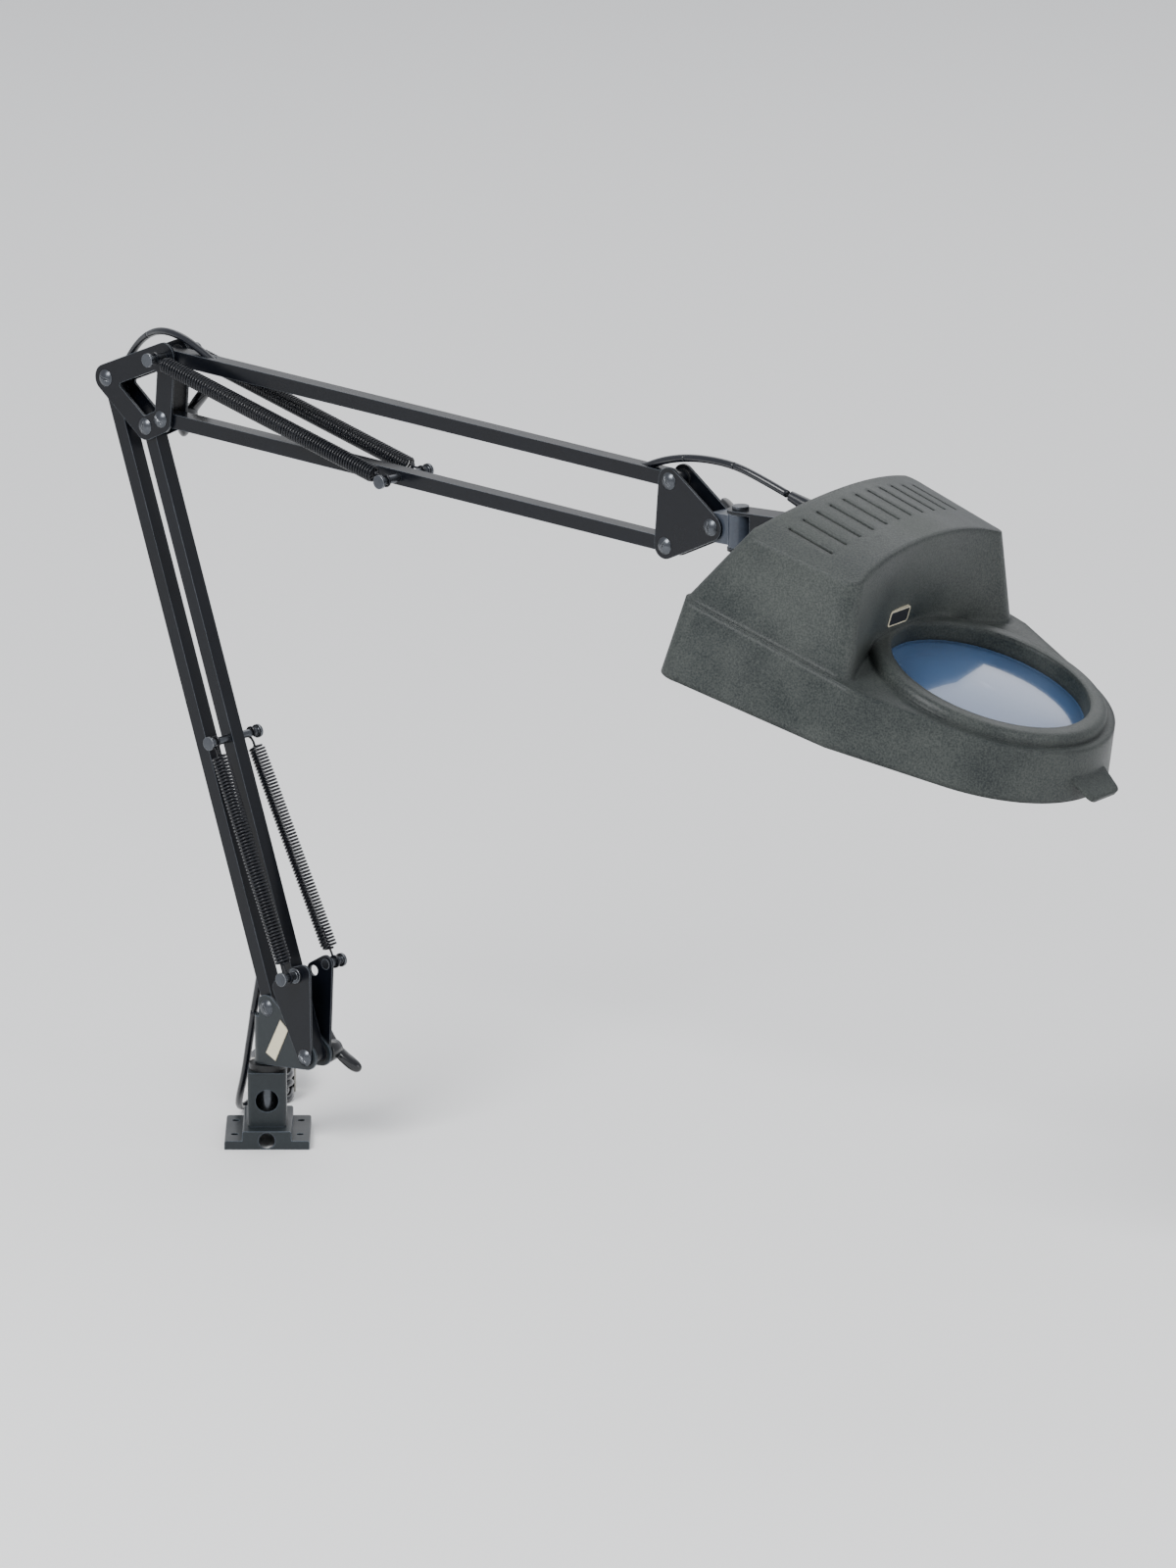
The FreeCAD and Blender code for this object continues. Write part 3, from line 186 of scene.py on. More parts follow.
def sweep(path: np.ndarray, radius: np.ndarray | float, sides: int, across: np.ndarray) -> Mesh:
    """Carries a circle along a path and closes both ends.

    Each ring is the path's point plus radius times cos of the ring angle along n and sin
    of it along b, where n is the across direction with its part along the path removed
    and b is square to both. Each end is a flat disc, whose last ring is shrunk to a point.

    Args:
        path: Centre line points.
        radius: Tube radius, one value or one for each point.
        sides: Points in a ring.
        across: Direction that is never along the path.

    Returns:
        Vertices and quads.
    """
    tangent = np.gradient(path, axis=0)
    tangent /= np.linalg.norm(tangent, axis=1)[:, None]
    n = across - (tangent @ across)[:, None] * tangent
    n /= np.linalg.norm(n, axis=1)[:, None]
    b = np.cross(tangent, n)
    radii = np.broadcast_to(np.asarray(radius, float), (len(path),))
    path = np.vstack([path[:1], path[:1], path, path[-1:], path[-1:]])
    radii = np.concatenate([[0.0, radii[0] * CAP_RIM], radii, [radii[-1] * CAP_RIM, 0.0]])
    n = np.vstack([n[:1], n[:1], n, n[-1:], n[-1:]])
    b = np.vstack([b[:1], b[:1], b, b[-1:], b[-1:]])
    turn = np.linspace(0, 2 * math.pi, sides, endpoint=False)
    ring = np.cos(turn)[None, :, None] * n[:, None, :] + np.sin(turn)[None, :, None] * b[:, None, :]
    verts = path[:, None, :] + radii[:, None, None] * ring
    return verts.reshape(-1, 3), grid_faces(len(path), sides)


def joined(name: str, parts: list[Mesh]) -> bpy.types.Object:
    """Makes one object of several vertex and quad arrays.

    Args:
        name: Name of the piece.
        parts: Pairs of vertices and quads.

    Returns:
        The joined piece.
    """
    offsets = np.cumsum([0] + [len(v) for v, _ in parts[:-1]])
    faces = np.vstack([f + o for (_, f), o in zip(parts, offsets)])
    return mesh_object(name, np.vstack([v for v, _ in parts]), faces)


def spline_points(points: np.ndarray, steps: int) -> np.ndarray:
    """Reads the line of a NURBS spline through its own evaluation.

    Args:
        points: Control points in metres.
        steps: Evaluated steps for each control point.

    Returns:
        Points along the spline.
    """
    curve = bpy.data.curves.new("route", "CURVE")
    curve.dimensions = "3D"
    spline = curve.splines.new("NURBS")
    spline.points.add(len(points) - 1)
    spline.points.foreach_set("co", np.column_stack([points, np.ones(len(points))]).ravel())
    spline.order_u = 3
    spline.use_endpoint_u = True
    curve.resolution_u = steps
    holder = bpy.data.objects.new("route", curve)
    line = bpy.data.meshes.new_from_object(holder)
    flat = np.empty(len(line.vertices) * 3)
    line.vertices.foreach_get("co", flat)
    bpy.data.objects.remove(holder)
    bpy.data.curves.remove(curve)
    bpy.data.meshes.remove(line)
    return flat.reshape(-1, 3)


# ---- finishes --------------------------------------------------------------
def linear(*rgb: float) -> Colour:
    """Turns a screen colour into linear light by the sRGB curve.

    Args:
        rgb: Red, green and blue of 0 to 255.

    Returns:
        Linear red, green and blue, and an alpha of one.
    """
    c = np.array(rgb) / 255
    v = np.where(c <= 0.04045, c / 12.92, ((c + 0.055) / 1.055) ** 2.4)
    return (*(float(x) for x in v), 1.0)


class Grain(Enum):
    """Ways in which a surface is rough."""

    SPRAYED = "sprayed"
    MOULDED = "moulded"
    DRAWN = "drawn"


def new_material(name: str) -> tuple[bpy.types.Material, bpy.types.NodeTree, bpy.types.Node]:
    """Makes a material with nodes.

    Args:
        name: Name of the material.

    Returns:
        The material, its node tree and its Principled shader.
    """
    mat = bpy.data.materials.new(name)
    mat.use_nodes = True
    return mat, mat.node_tree, mat.node_tree.nodes["Principled BSDF"]


def noise_value(tree: bpy.types.NodeTree, place: bpy.types.NodeSocket, scale: float,
                detail: float) -> bpy.types.NodeSocket:
    """Adds a noise texture.

    Args:
        tree: Node tree of the material.
        place: Coordinates that the noise reads.
        scale: Size of the noise, larger for finer.
        detail: Octaves of finer noise.

    Returns:
        The socket of its value.
    """
    noise = tree.nodes.new("ShaderNodeTexNoise")
    noise.inputs["Scale"].default_value = scale
    noise.inputs["Detail"].default_value = detail
    tree.links.new(place, noise.inputs["Vector"])
    return noise.outputs["Fac"]


def mixed(tree: bpy.types.NodeTree, share: bpy.types.NodeSocket, second: Colour) -> bpy.types.Node:
    """Adds a colour mix whose first colour is still to be set.

    Args:
        tree: Node tree of the material.
        share: Share of the second colour.
        second: The second colour.

    Returns:
        The mix node.
    """
    mix = tree.nodes.new("ShaderNodeMix")
    mix.data_type = "RGBA"
    mix.inputs[MIX_SECOND].default_value = second
    tree.links.new(share, mix.inputs[MIX_SHARE])
    return mix


def ranged(tree: bpy.types.NodeTree, value: bpy.types.NodeSocket, source: tuple[float, float],
           target: tuple[float, float]) -> bpy.types.NodeSocket:
    """Stretches a value from one range to another.

    Args:
        tree: Node tree of the material.
        value: The value.
        source: Ends of the range that it comes in.
        target: Ends of the range that it goes out in.

    Returns:
        The socket of the stretched value.
    """
    span = tree.nodes.new("ShaderNodeMapRange")
    span.inputs["From Min"].default_value, span.inputs["From Max"].default_value = source
    span.inputs["To Min"].default_value, span.inputs["To Max"].default_value = target
    tree.links.new(value, span.inputs["Value"])
    return span.outputs["Result"]


def rounded_normal(tree: bpy.types.NodeTree, radius: float) -> bpy.types.NodeSocket:
    """Adds a normal that is rounded over the edges.

    Args:
        tree: Node tree of the material.
        radius: Radius of the rounding in millimetres.

    Returns:
        The socket of the normal.
    """
    bevel = tree.nodes.new("ShaderNodeBevel")
    bevel.samples = BEVEL_SAMPLES
    bevel.inputs["Radius"].default_value = radius * MM
    return bevel.outputs["Normal"]


@dataclass(frozen=True)
class Finish:
    """A surface finish made of two tones, a grain, soft stains and an edge colour: on most finishes
    lighter, as rubbed wear with a painted highlight; on the label its dark printed border; on the tie
    darker.
    """

    name: str
    tone: Colour
    second: Colour
    # Edge colour: where lighter than the tone, a painted highlight along the edges mixed with rubbed wear.
    edge: Colour
    rough: tuple[float, float] = (0.3, 0.45)
    metallic: float = 0.0
    coat: float = 0.0
    coat_rough: float = 0.12
    grain: Grain = Grain.SPRAYED
    grain_size: float = 1.0
    bump: float = 0.05
    bump_strength: float = 0.6
    edge_size: float = 0.5
    edge_wear_and_highlight_share: float = 0.6
    speckle: float = 0.35
    specular: float = 0.4
    rounding: float = 0.4

    def material(self) -> bpy.types.Material:
        """Builds the node material of this finish.

        Returns:
            A material whose colour, roughness and bump follow Object coordinates.
        """
        mat, tree, shader = new_material(self.name)
        shader.inputs["Metallic"].default_value = self.metallic
        shader.inputs["Coat Weight"].default_value = self.coat
        shader.inputs["Coat Roughness"].default_value = self.coat_rough
        shader.inputs["Specular IOR Level"].default_value = self.specular
        place = tree.nodes.new("ShaderNodeTexCoord").outputs["Object"]
        fine = noise_value(tree, self._grain_place(tree, place), GRAIN_SCALE / self.grain_size,
                           GRAIN_DETAIL)
        broad = noise_value(tree, place, STAIN_SCALE, STAIN_DETAIL)
        tone = mixed(tree, self._stain(tree, fine, broad), self.second)
        tone.inputs[MIX_FIRST].default_value = self.tone
        # Edges take the edge colour: a painted highlight with rubbed wear on most finishes.
        edge_wear_and_highlight = mixed(tree, self._edge_wear_and_highlight_mask(tree, broad), self.edge)
        tree.links.new(tone.outputs[MIX_RESULT], edge_wear_and_highlight.inputs[MIX_FIRST])
        tree.links.new(edge_wear_and_highlight.outputs[MIX_RESULT], shader.inputs["Base Color"])
        tree.links.new(ranged(tree, broad, (0.3, 0.7), self.rough), shader.inputs["Roughness"])
        bump = tree.nodes.new("ShaderNodeBump")
        bump.inputs["Strength"].default_value = self.bump_strength
        bump.inputs["Distance"].default_value = self.bump * MM
        tree.links.new(fine, bump.inputs["Height"])
        tree.links.new(rounded_normal(tree, self.rounding), bump.inputs["Normal"])
        tree.links.new(bump.outputs["Normal"], shader.inputs["Normal"])
        return mat

    def _grain_place(self, tree: bpy.types.NodeTree,
                     place: bpy.types.NodeSocket) -> bpy.types.NodeSocket:
        """Draws the grain out along the upright axis where the finish is drawn.

        Args:
            tree: Node tree of the material.
            place: Object coordinates.

        Returns:
            The coordinates that the grain reads.
        """
        if self.grain is not Grain.DRAWN:
            return place
        mapping = tree.nodes.new("ShaderNodeMapping")
        mapping.inputs["Scale"].default_value = DRAWN_STRETCH
        tree.links.new(place, mapping.inputs["Vector"])
        return mapping.outputs["Vector"]

    def _stain(self, tree: bpy.types.NodeTree, fine: bpy.types.NodeSocket,
               broad: bpy.types.NodeSocket) -> bpy.types.NodeSocket:
        """Adds the share of the second tone.

        It is the grain times twice the speckle, plus the broad stain times its reach,
        plus a floor less the speckle, held between nought and one.

        Args:
            tree: Node tree of the material.
            fine: Value of the grain.
            broad: Value of the broad stain.

        Returns:
            The share's socket.
        """
        shift = tree.nodes.new("ShaderNodeMath")
        shift.operation = "MULTIPLY_ADD"
        shift.inputs[1].default_value = STAIN_REACH
        shift.inputs[2].default_value = STAIN_FLOOR - self.speckle
        tree.links.new(broad, shift.inputs[0])
        share = tree.nodes.new("ShaderNodeMath")
        share.operation = "MULTIPLY_ADD"
        share.use_clamp = True
        share.inputs[1].default_value = self.speckle * 2
        tree.links.new(fine, share.inputs[0])
        tree.links.new(shift.outputs[0], share.inputs[2])
        return share.outputs[0]

    def _edge_wear_and_highlight_mask(self, tree: bpy.types.NodeTree, broad: bpy.types.NodeSocket) -> bpy.types.NodeSocket:
        """Adds a mask of the edges that take the edge colour, which is rubbed wear with a painted highlight
        on most finishes.

        The dot product of the true and the rounded normal is stretched so that a flat place gives nought
        and a sharp edge the share of edge colour, and is multiplied by the broad stain.

        Args:
            tree: Node tree of the material.
            broad: Value of the broad stain.

        Returns:
            The mask's socket.
        """
        true = tree.nodes.new("ShaderNodeNewGeometry")
        dot = tree.nodes.new("ShaderNodeVectorMath")
        dot.operation = "DOT_PRODUCT"
        tree.links.new(rounded_normal(tree, self.edge_size), dot.inputs[0])
        tree.links.new(true.outputs["Normal"], dot.inputs[1])
        mask = ranged(tree, dot.outputs["Value"], (WEAR_AND_HIGHLIGHT_STARTS, WEAR_AND_HIGHLIGHT_FULL),
                      (0.0, self.edge_wear_and_highlight_share * WEAR_AND_HIGHLIGHT_GAIN))
        product = tree.nodes.new("ShaderNodeMath")
        product.operation = "MULTIPLY"
        product.use_clamp = True
        tree.links.new(mask, product.inputs[0])
        tree.links.new(broad, product.inputs[1])
        return product.outputs[0]


@dataclass(frozen=True)
class GlassFinish:
    """Tinted or frosted glass with faint smears."""

    name: str
    tint: Colour
    rough: tuple[float, float]
    transmission: float
    ior: float = 1.52
    coat: float = 0.6
    coat_rough: float = 0.03
    paler: float = 1.35

    def material(self) -> bpy.types.Material:
        """Builds the node material of the glass.

        Returns:
            A material with smears in its roughness and soft patches in its tint.
        """
        mat, tree, shader = new_material(self.name)
        shader.inputs["Transmission Weight"].default_value = self.transmission
        shader.inputs["IOR"].default_value = self.ior
        shader.inputs["Coat Weight"].default_value = self.coat
        shader.inputs["Coat Roughness"].default_value = self.coat_rough
        place = tree.nodes.new("ShaderNodeTexCoord").outputs["Object"]
        smear = noise_value(tree, place, SMEAR_SCALE, SMEAR_DETAIL)
        pale = tuple(min(1.0, self.paler * v) for v in self.tint[:3]) + (1.0,)
        tone = mixed(tree, smear, pale)
        tone.inputs[MIX_FIRST].default_value = self.tint
        tree.links.new(tone.outputs[MIX_RESULT], shader.inputs["Base Color"])
        tree.links.new(ranged(tree, smear, (0.0, 1.0), self.rough), shader.inputs["Roughness"])
        return mat


# The third colour of each finish is its edge colour; where it is lighter than the tone it is a painted edge
# highlight mixed with rubbed wear.
FINISHES: dict[str, Finish | GlassFinish] = {
    "bracket_paint": Finish("bracket_paint", linear(25, 30, 33), linear(38, 44, 47), linear(120, 132, 148),
                            (0.34, 0.5), coat=0.1, grain_size=2.2, bump=0.06, edge_size=0.7, specular=0.3),
    "arm_paint": Finish("arm_paint", linear(5, 7, 12), linear(11, 14, 21), linear(128, 136, 146),
                        (0.24, 0.38), coat=0.12, grain_size=3.0, bump=0.03, edge_size=0.55, edge_wear_and_highlight_share=0.7,
                        specular=0.22),
    "zinc": Finish("zinc", linear(96, 99, 104), linear(58, 61, 66), linear(210, 214, 220),
                   (0.2, 0.4), metallic=0.9, grain=Grain.DRAWN, grain_size=0.5, bump=0.02),
    "nylon": Finish("nylon", linear(12, 13, 15), linear(22, 23, 25), linear(60, 62, 66), (0.4, 0.55),
                    grain=Grain.MOULDED, grain_size=1.0),
    "spring_black": Finish("spring_black", linear(9, 11, 16), linear(17, 20, 27), linear(100, 106, 114),
                           (0.16, 0.3), coat=0.0, grain=Grain.DRAWN, grain_size=1.2, bump=0.01,
                           edge_wear_and_highlight_share=0.05, specular=0.35),
    "label": Finish("label", linear(222, 214, 188), linear(196, 188, 160), linear(30, 30, 28), (0.4, 0.55),
                    grain_size=1.6, bump=0.01, edge_size=0.9, edge_wear_and_highlight_share=1.2, speckle=0.15),
    "knob_plastic": Finish("knob_plastic", linear(7, 9, 13), linear(14, 17, 22), linear(70, 76, 84),
                           (0.16, 0.28), coat=0.4, grain=Grain.MOULDED, grain_size=1.5, bump=0.02,
                           edge_wear_and_highlight_share=0.3),
    "cord": Finish("cord", linear(8, 11, 18), linear(14, 18, 27), linear(44, 50, 62), (0.2, 0.34), coat=0.3,
                   grain=Grain.MOULDED, grain_size=1.5, bump=0.02, edge_wear_and_highlight_share=0.1),
    "tie": Finish("tie", linear(206, 204, 196), linear(170, 168, 160), linear(120, 120, 116), (0.5, 0.7),
                  grain_size=0.7, bump=0.05),
    "brass": Finish("brass", linear(188, 170, 120), linear(150, 132, 88), linear(230, 220, 180),
                    (0.22, 0.38), metallic=1.0, grain=Grain.DRAWN, grain_size=0.5, bump=0.01),
    "knuckle_grey": Finish("knuckle_grey", linear(60, 68, 80), linear(40, 46, 56), linear(190, 196, 204),
                           (0.28, 0.42), coat=0.2, grain_size=1.4),
    "hood_plastic": Finish("hood_plastic", linear(26, 32, 33), linear(66, 70, 67), linear(128, 138, 148),
                           (0.36, 0.52), grain=Grain.MOULDED, grain_size=1.1, bump=0.12, edge_size=1.0,
                           edge_wear_and_highlight_share=0.05, speckle=0.9, specular=0.3, rounding=5.0),
    "lens_glass": GlassFinish("lens_glass", linear(70, 98, 136), (0.1, 0.24), 0.4),
    "retainer_plastic": Finish("retainer_plastic", linear(12, 13, 15), linear(22, 24, 27),
                               linear(64, 68, 72), (0.34, 0.5), grain=Grain.MOULDED, grain_size=1.0),
    "rocker": Finish("rocker", linear(9, 10, 12), linear(18, 19, 22), linear(64, 68, 72), (0.15, 0.28),
                     grain=Grain.MOULDED, grain_size=1.4, bump=0.01),
    "bulb_glass": GlassFinish("bulb_glass", linear(240, 238, 230), (0.45, 0.6), 0.35),
    "porcelain": Finish("porcelain", linear(222, 216, 202), linear(200, 192, 176), linear(240, 236, 226),
                        (0.15, 0.3), coat=0.5, grain_size=2.5, bump=0.02),
    "reflector_metal": Finish("reflector_metal", linear(226, 226, 222), linear(200, 200, 196),
                              linear(240, 240, 240), (0.3, 0.45), metallic=0.25, grain=Grain.DRAWN,
                              grain_size=0.8, bump=0.02),
}


@dataclass
class Wardrobe:
    """Makes each finish once and puts it on frame nodes and new pieces."""

    made: dict[str, bpy.types.Material] = field(default_factory=dict)

    def get(self, slot: str) -> bpy.types.Material:
        """Gives the material of a slot, made on its first use.

        Args:
            slot: Name of the material slot.

        Returns:
            The slot's material.
        """
        if slot not in self.made:
            self.made[slot] = FINISHES[slot].material()
        return self.made[slot]

    def dress(self, piece: bpy.types.Object, slot: str) -> None:
        """Puts a slot's material on a new piece."""
        piece.data.materials.append(self.get(slot))

    def dress_frame(self, frame: dict) -> None:
        """Puts every frame node's finish on its material slots.

        Args:
            frame: The loaded frame.
        """
        slots = {row["node"]: row["material_slot"] for row in frame["record"]["subparts"]}
        for name, node in frame["nodes"].items():
            for holder in node.material_slots:
                holder.material = self.get(slots[name])
        LOG.info("dressed %d frame nodes", len(frame["nodes"]))


# ---- mains lead ------------------------------------------------------------
@dataclass
class MainsLead:
    """The mains lead: from the yoke down to the bench, into a tied hank, and to its plug."""

    wardrobe: Wardrobe
    near: float = 91.8
    straight: float = 50.0
    radii: tuple[float, float] = (11.6, 6.9)
    layer: float = 4.7
    turns: int = 8
    first_change: float = 0.90
    change_step: float = 0.05
    points_per_turn: int = 20
    first_share: float = 0.1
    straight_share: float = 0.3
    bend_share: float = 0.2
    spline_cut: float = 0.975
    steps: int = 7
    sides: int = 14
    lies_from: Place = (-0.0183, 0.044, 0.0158)
    length: float = 1.40

    def visible_route(self) -> np.ndarray:
        """Gives the visible stretch's points, in row millimetres."""
        return np.array([
            (-8.05, 9.64, 80.0), (-10.0, 15.5, 66.0), (-12.0, 21.5, 52.5), (-13.8, 28.0, 39.5),
            (-16.0, 35.6, 27.0), (-18.3, 44.0, 15.8), (-19.0, 53.5, 7.6), (-17.2, 64.5, 3.6),
            (-13.8, 75.5, 2.5), (-11.8, 86.0, 2.3), (-11.4, 96.0, 2.3)])

    def hank_route(self) -> np.ndarray:
        """Gives the points of the hank's turns, in row millimetres.

        A share of the oval runs from 0 to 1, over a straight, a bend, a straight and a bend.
        Radius and level change from one turn to the next in a short stretch, which lies a
        little earlier in each turn, so the strands lie beside and on each other.

        Returns:
            Control points, from the end of the visible stretch to the start of the tail.
        """
        step = 1.0 / self.points_per_turn
        last = self.turns - 1
        share = np.arange(self.first_share, last + self.first_change - last * self.change_step, step)
        order = (np.arange(self.turns) + 1) // 2 % 2
        radius = np.array(self.radii)[order]
        level = CORD_R + self.layer * (np.arange(self.turns) // 2)
        changes = np.arange(last) * (1 - self.change_step) + self.first_change
        moved = np.clip((share[:, None] - changes[None, :]) / step + 0.5, 0, 1)
        r = radius[0] + moved @ np.diff(radius)
        z = level[0] + moved @ np.diff(level)
        x, y = self._oval(np.mod(share, 1.0), r)
        return np.column_stack([x, y, z])

    def _oval(self, share: np.ndarray, r: np.ndarray) -> tuple[np.ndarray, np.ndarray]:
        """Places shares of the oval.

        A straight is at x of minus or plus r. A bend is a half circle about the near or
        far centre, drawn a little wide because the spline cuts inside its points.

        Args:
            share: Shares of the oval from 0 to 1.
            r: Radius at each share.

        Returns:
            The x and y arrays.
        """
        wide = r / self.spline_cut
        far = self.near + self.straight
        far_start = self.straight_share
        right_start = far_start + self.bend_share
        near_start = right_start + self.straight_share
        places = [share < far_start, (share >= far_start) & (share < right_start),
                  (share >= right_start) & (share < near_start)]
        far_turn = math.pi * (1 - (share - far_start) / self.bend_share)
        near_turn = -math.pi * (share - near_start) / self.bend_share
        x = np.select(places, [-r, wide * np.cos(far_turn), r], wide * np.cos(near_turn))
        y = np.select(
            places,
            [self.near + self.straight * share / self.straight_share, far + wide * np.sin(far_turn),
             far - self.straight * (share - right_start) / self.straight_share],
            self.near + wide * np.sin(near_turn))
        return x, y

    def tail_route(self) -> np.ndarray:
        """Gives the points from the last turn over the hank to the plug, in row millimetres."""
        return np.array([
            (11.8, 133.0, 18.6), (12.0, 125.5, 20.8), (12.2, 117.0, 22.2), (11.8, 108.0, 22.4),
            (11.0, 98.5, 22.4), (8.2, 90.0, 22.6), (2.2, 85.0, 23.0), (-4.4, 86.6, 23.6),
            (-7.4, 93.5, 24.0), (-6.4, 102.0, 24.5), (-2.4, 109.5, 25.0), (0.0, 116.0, 25.0),
            (0.0, 126.0, 25.0)])

    def build(self, frame: dict) -> None:
        """Args:
            frame: The loaded frame; not used.
        """
        route = np.vstack([self.visible_route()[:-1], self.hank_route(), self.tail_route()]) * MM
        path = spline_points(route, self.steps)
        verts, faces = sweep(path, CORD_R * MM, self.sides, np.array([0.05, 0.02, 1.0]))
        lead = mesh_object("mains_lead", verts, faces)
        self.wardrobe.dress(lead, "cord")
        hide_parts("mains_cord", "cord_hank")
        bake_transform(lead)
        measured = float(np.linalg.norm(np.diff(path, axis=0), axis=1).sum())
        LOG.info("mains lead is %.3f m long", measured)


# ---- held cords ------------------------------------------------------------
@dataclass
class HeldCord:
    """A stretch of cord that crosses one joint, held at both its ends."""

    name: str
    node: str
    span: tuple[int, int]
    bodies: tuple[str, str]
    start: Place
    end: Place


@dataclass
class HeldCords:
    """The cord where it shows at the base, the elbow and the head."""

    wardrobe: Wardrobe
    steps: int = 12
    sides: int = 16

    def routes(self) -> dict[str, np.ndarray]:
        """Gives each route's points in the arm plane, in millimetres."""
        return {
            "base": np.array([(-8.4, 0, 129.1), (-3.4, 0, 114.7), (-7, 0.4, 98), (-12.4, 2, 80)]),
            "elbow": np.array([
                (-20, 0, 478.5), (-36, 0, 479.3), (-52, 0.5, 487), (-68, 1.2, 493.2), (-86, 4, 494),
                (-103, 9.5, 488.5), (-118, 14.2, 478), (-129, 15.4, 463), (-133.5, 13.5, 448),
                (-129.5, 8.8, 433.8), (-118.2, 3.2, 421), (-105.2, 0, 408.4), (-100.6, 0, 395.2)]),
            "head": np.array([
                (284, 0, 465.2), (299, 0, 464.6), (317, 0, 472.6), (335, 0, 477), (353, 0.3, 478.6),
                (373, 1.2, 477.6), (392.6, 3.4, 471.5), (409.3, 5.8, 464.9)])}

    def stretches(self) -> dict[str, list[HeldCord]]:
        """Gives the stretches of each route, cut where the cord changes bodies."""
        return {
            "base": [HeldCord("base_lead", "base_cord", (0, 3), ("lower_rear_bar", "yoke"),
                              (-6, 0, 118), (-10, 0, 86))],
            "elbow": [
                HeldCord("elbow_lead_upper", "elbow_cord_upper", (0, 5), ("upper_top_bar", "elbow"),
                         (-50, 0, 487), (-96, 0, 490)),
                HeldCord("elbow_lead_lower", "elbow_cord_lower", (5, 12), ("elbow", "lower_rear_bar"),
                         (-128, 0, 466), (-111, 0, 414))],
            "head": [
                HeldCord("head_lead_rear", "head_cord_rear", (0, 3), ("upper_top_bar", "head_bracket"),
                         (303, 0, 466), (334, 0, 477)),
                HeldCord("head_lead_middle", "head_cord_middle", (3, 5), ("head_bracket", "knuckle"),
                         (337, 0, 478), (371, 0, 478)),
                HeldCord("head_lead_front", "head_cord_front", (5, 7), ("knuckle", "head"),
                         (374, 0, 478), (404, 0, 466))]}

    def build(self) -> None:
        """Makes every stretch as a tube about its share of the route's spline."""
        across = arm_point(np.array([0, 1000.0, 0]))[0]
        for route, parts in self.stretches().items():
            control = arm_point(self.routes()[route])
            line = spline_points(control, self.steps)
            cuts = [int(np.argmin(np.linalg.norm(line - point, axis=1))) for point in control]
            for part in parts:
                piece_line = line[cuts[part.span[0]]:cuts[part.span[1]] + 1]
                verts, faces = sweep(piece_line, CORD_R * MM, self.sides, across)
                piece = mesh_object(part.name, verts, faces)
                self.wardrobe.dress(piece, "cord")
                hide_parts(part.node)
                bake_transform(piece)
                LOG.info("made %s", part.name)


# ---- springs ---------------------------------------------------------------
@dataclass
class CoilSpring:
    """A close-wound tension spring between two pins, with a round eye on its first."""

    name: str
    node: str
    pin: tuple[float, float]
    stud: tuple[float, float]
    y: float
    body: str
    far_body: str | None = None
    coil_radius: float = 4.55
    wire: float = 1.5
    gap: float = 8.5
    pitch: float = 2.05
    turn_points: int = 18
    closing: float = 0.62
    eye_radius: float = 3.3
    eye_arc: tuple[float, float] = (330.0, 28.0)
    held: float = 1.5

    def build(self, wardrobe: Wardrobe) -> None:
        """Makes the spring and puts it on its body, or, where it joins two bodies, bakes it in place on
        neither.

        Args:
            wardrobe: Giver of materials.
        """
        pin = np.array([self.pin[0], self.y, self.pin[1]])
        stud = np.array([self.stud[0], self.y, self.stud[1]])
        reach = float(np.linalg.norm(stud - pin))
        along = (stud - pin) / reach
        side = np.array([0.0, 1.0, 0.0])
        up = np.cross(side, along)
        parts = [self._coil(pin, along, up, side, reach), self._eye(pin, along, up, side)]
        piece = joined(self.name, [(arm_point(v), f) for v, f in parts])
        wardrobe.dress(piece, "spring_black")
        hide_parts(self.node)
        if self.far_body:
            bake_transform(piece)
        else:
            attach(piece, self.body)
        LOG.info("made %s", self.name)

    def _coil(self, pin: np.ndarray, along: np.ndarray, up: np.ndarray, side: np.ndarray,
              reach: float) -> Mesh:
        """Winds the coil.

        At turn angle t the wire is at gap plus pitch times t over a full turn along the
        axis, and at the coil radius from it. Over the first and last turn the radius
        closes in by the closing share.

        Args:
            pin: Centre of the eye.
            along: Axis direction.
            up: First direction square to the axis.
            side: Second direction square to the axis.
            reach: Distance between the pins.

        Returns:
            Vertices and quads.
        """
        turns = (reach - 2 * self.gap) / self.pitch
        t = np.linspace(0, turns, int(turns * self.turn_points) + 1)
        shut = (1 - self.closing * np.clip(1 - t, 0, 1) ** 2
                - self.closing * np.clip(1 - (turns - t), 0, 1) ** 2)
        r = self.coil_radius * shut
        angle = 2 * math.pi * t
        path = (pin + (self.gap + self.pitch * t)[:, None] * along
                + (r * np.cos(angle))[:, None] * up + (r * np.sin(angle))[:, None] * side)
        return sweep(path, self.wire / 2, 8, along)

    def _eye(self, pin: np.ndarray, along: np.ndarray, up: np.ndarray, side: np.ndarray) -> Mesh:
        """Bends the eye.

        The wire goes round the pin at the eye radius, from a nearly full turn back, and
        then runs out along the axis to the coil.

        Args:
            pin: Centre of the eye.
            along: Axis direction.
            up: Direction square to the axis in the eye's plane.
            side: Direction of the pin.

        Returns:
            Vertices and quads.
        """
        angle = np.linspace(math.radians(self.eye_arc[0]), math.radians(self.eye_arc[1]), 40)
        ring = self.eye_radius * np.column_stack([np.cos(angle), np.sin(angle)])
        u = np.linspace(0, 1, 14)[1:]
        lead = np.column_stack([ring[-1, 0] + u * (self.gap + 1.5 - ring[-1, 0]),
                                ring[-1, 1] * (1 - u) ** 2 + self.coil_radius * 0.36 * u ** 2])
        flat = np.vstack([ring, lead])
        path = pin + flat[:, :1] * along + flat[:, 1:] * up
        return sweep(path, self.wire / 2, 10, side)


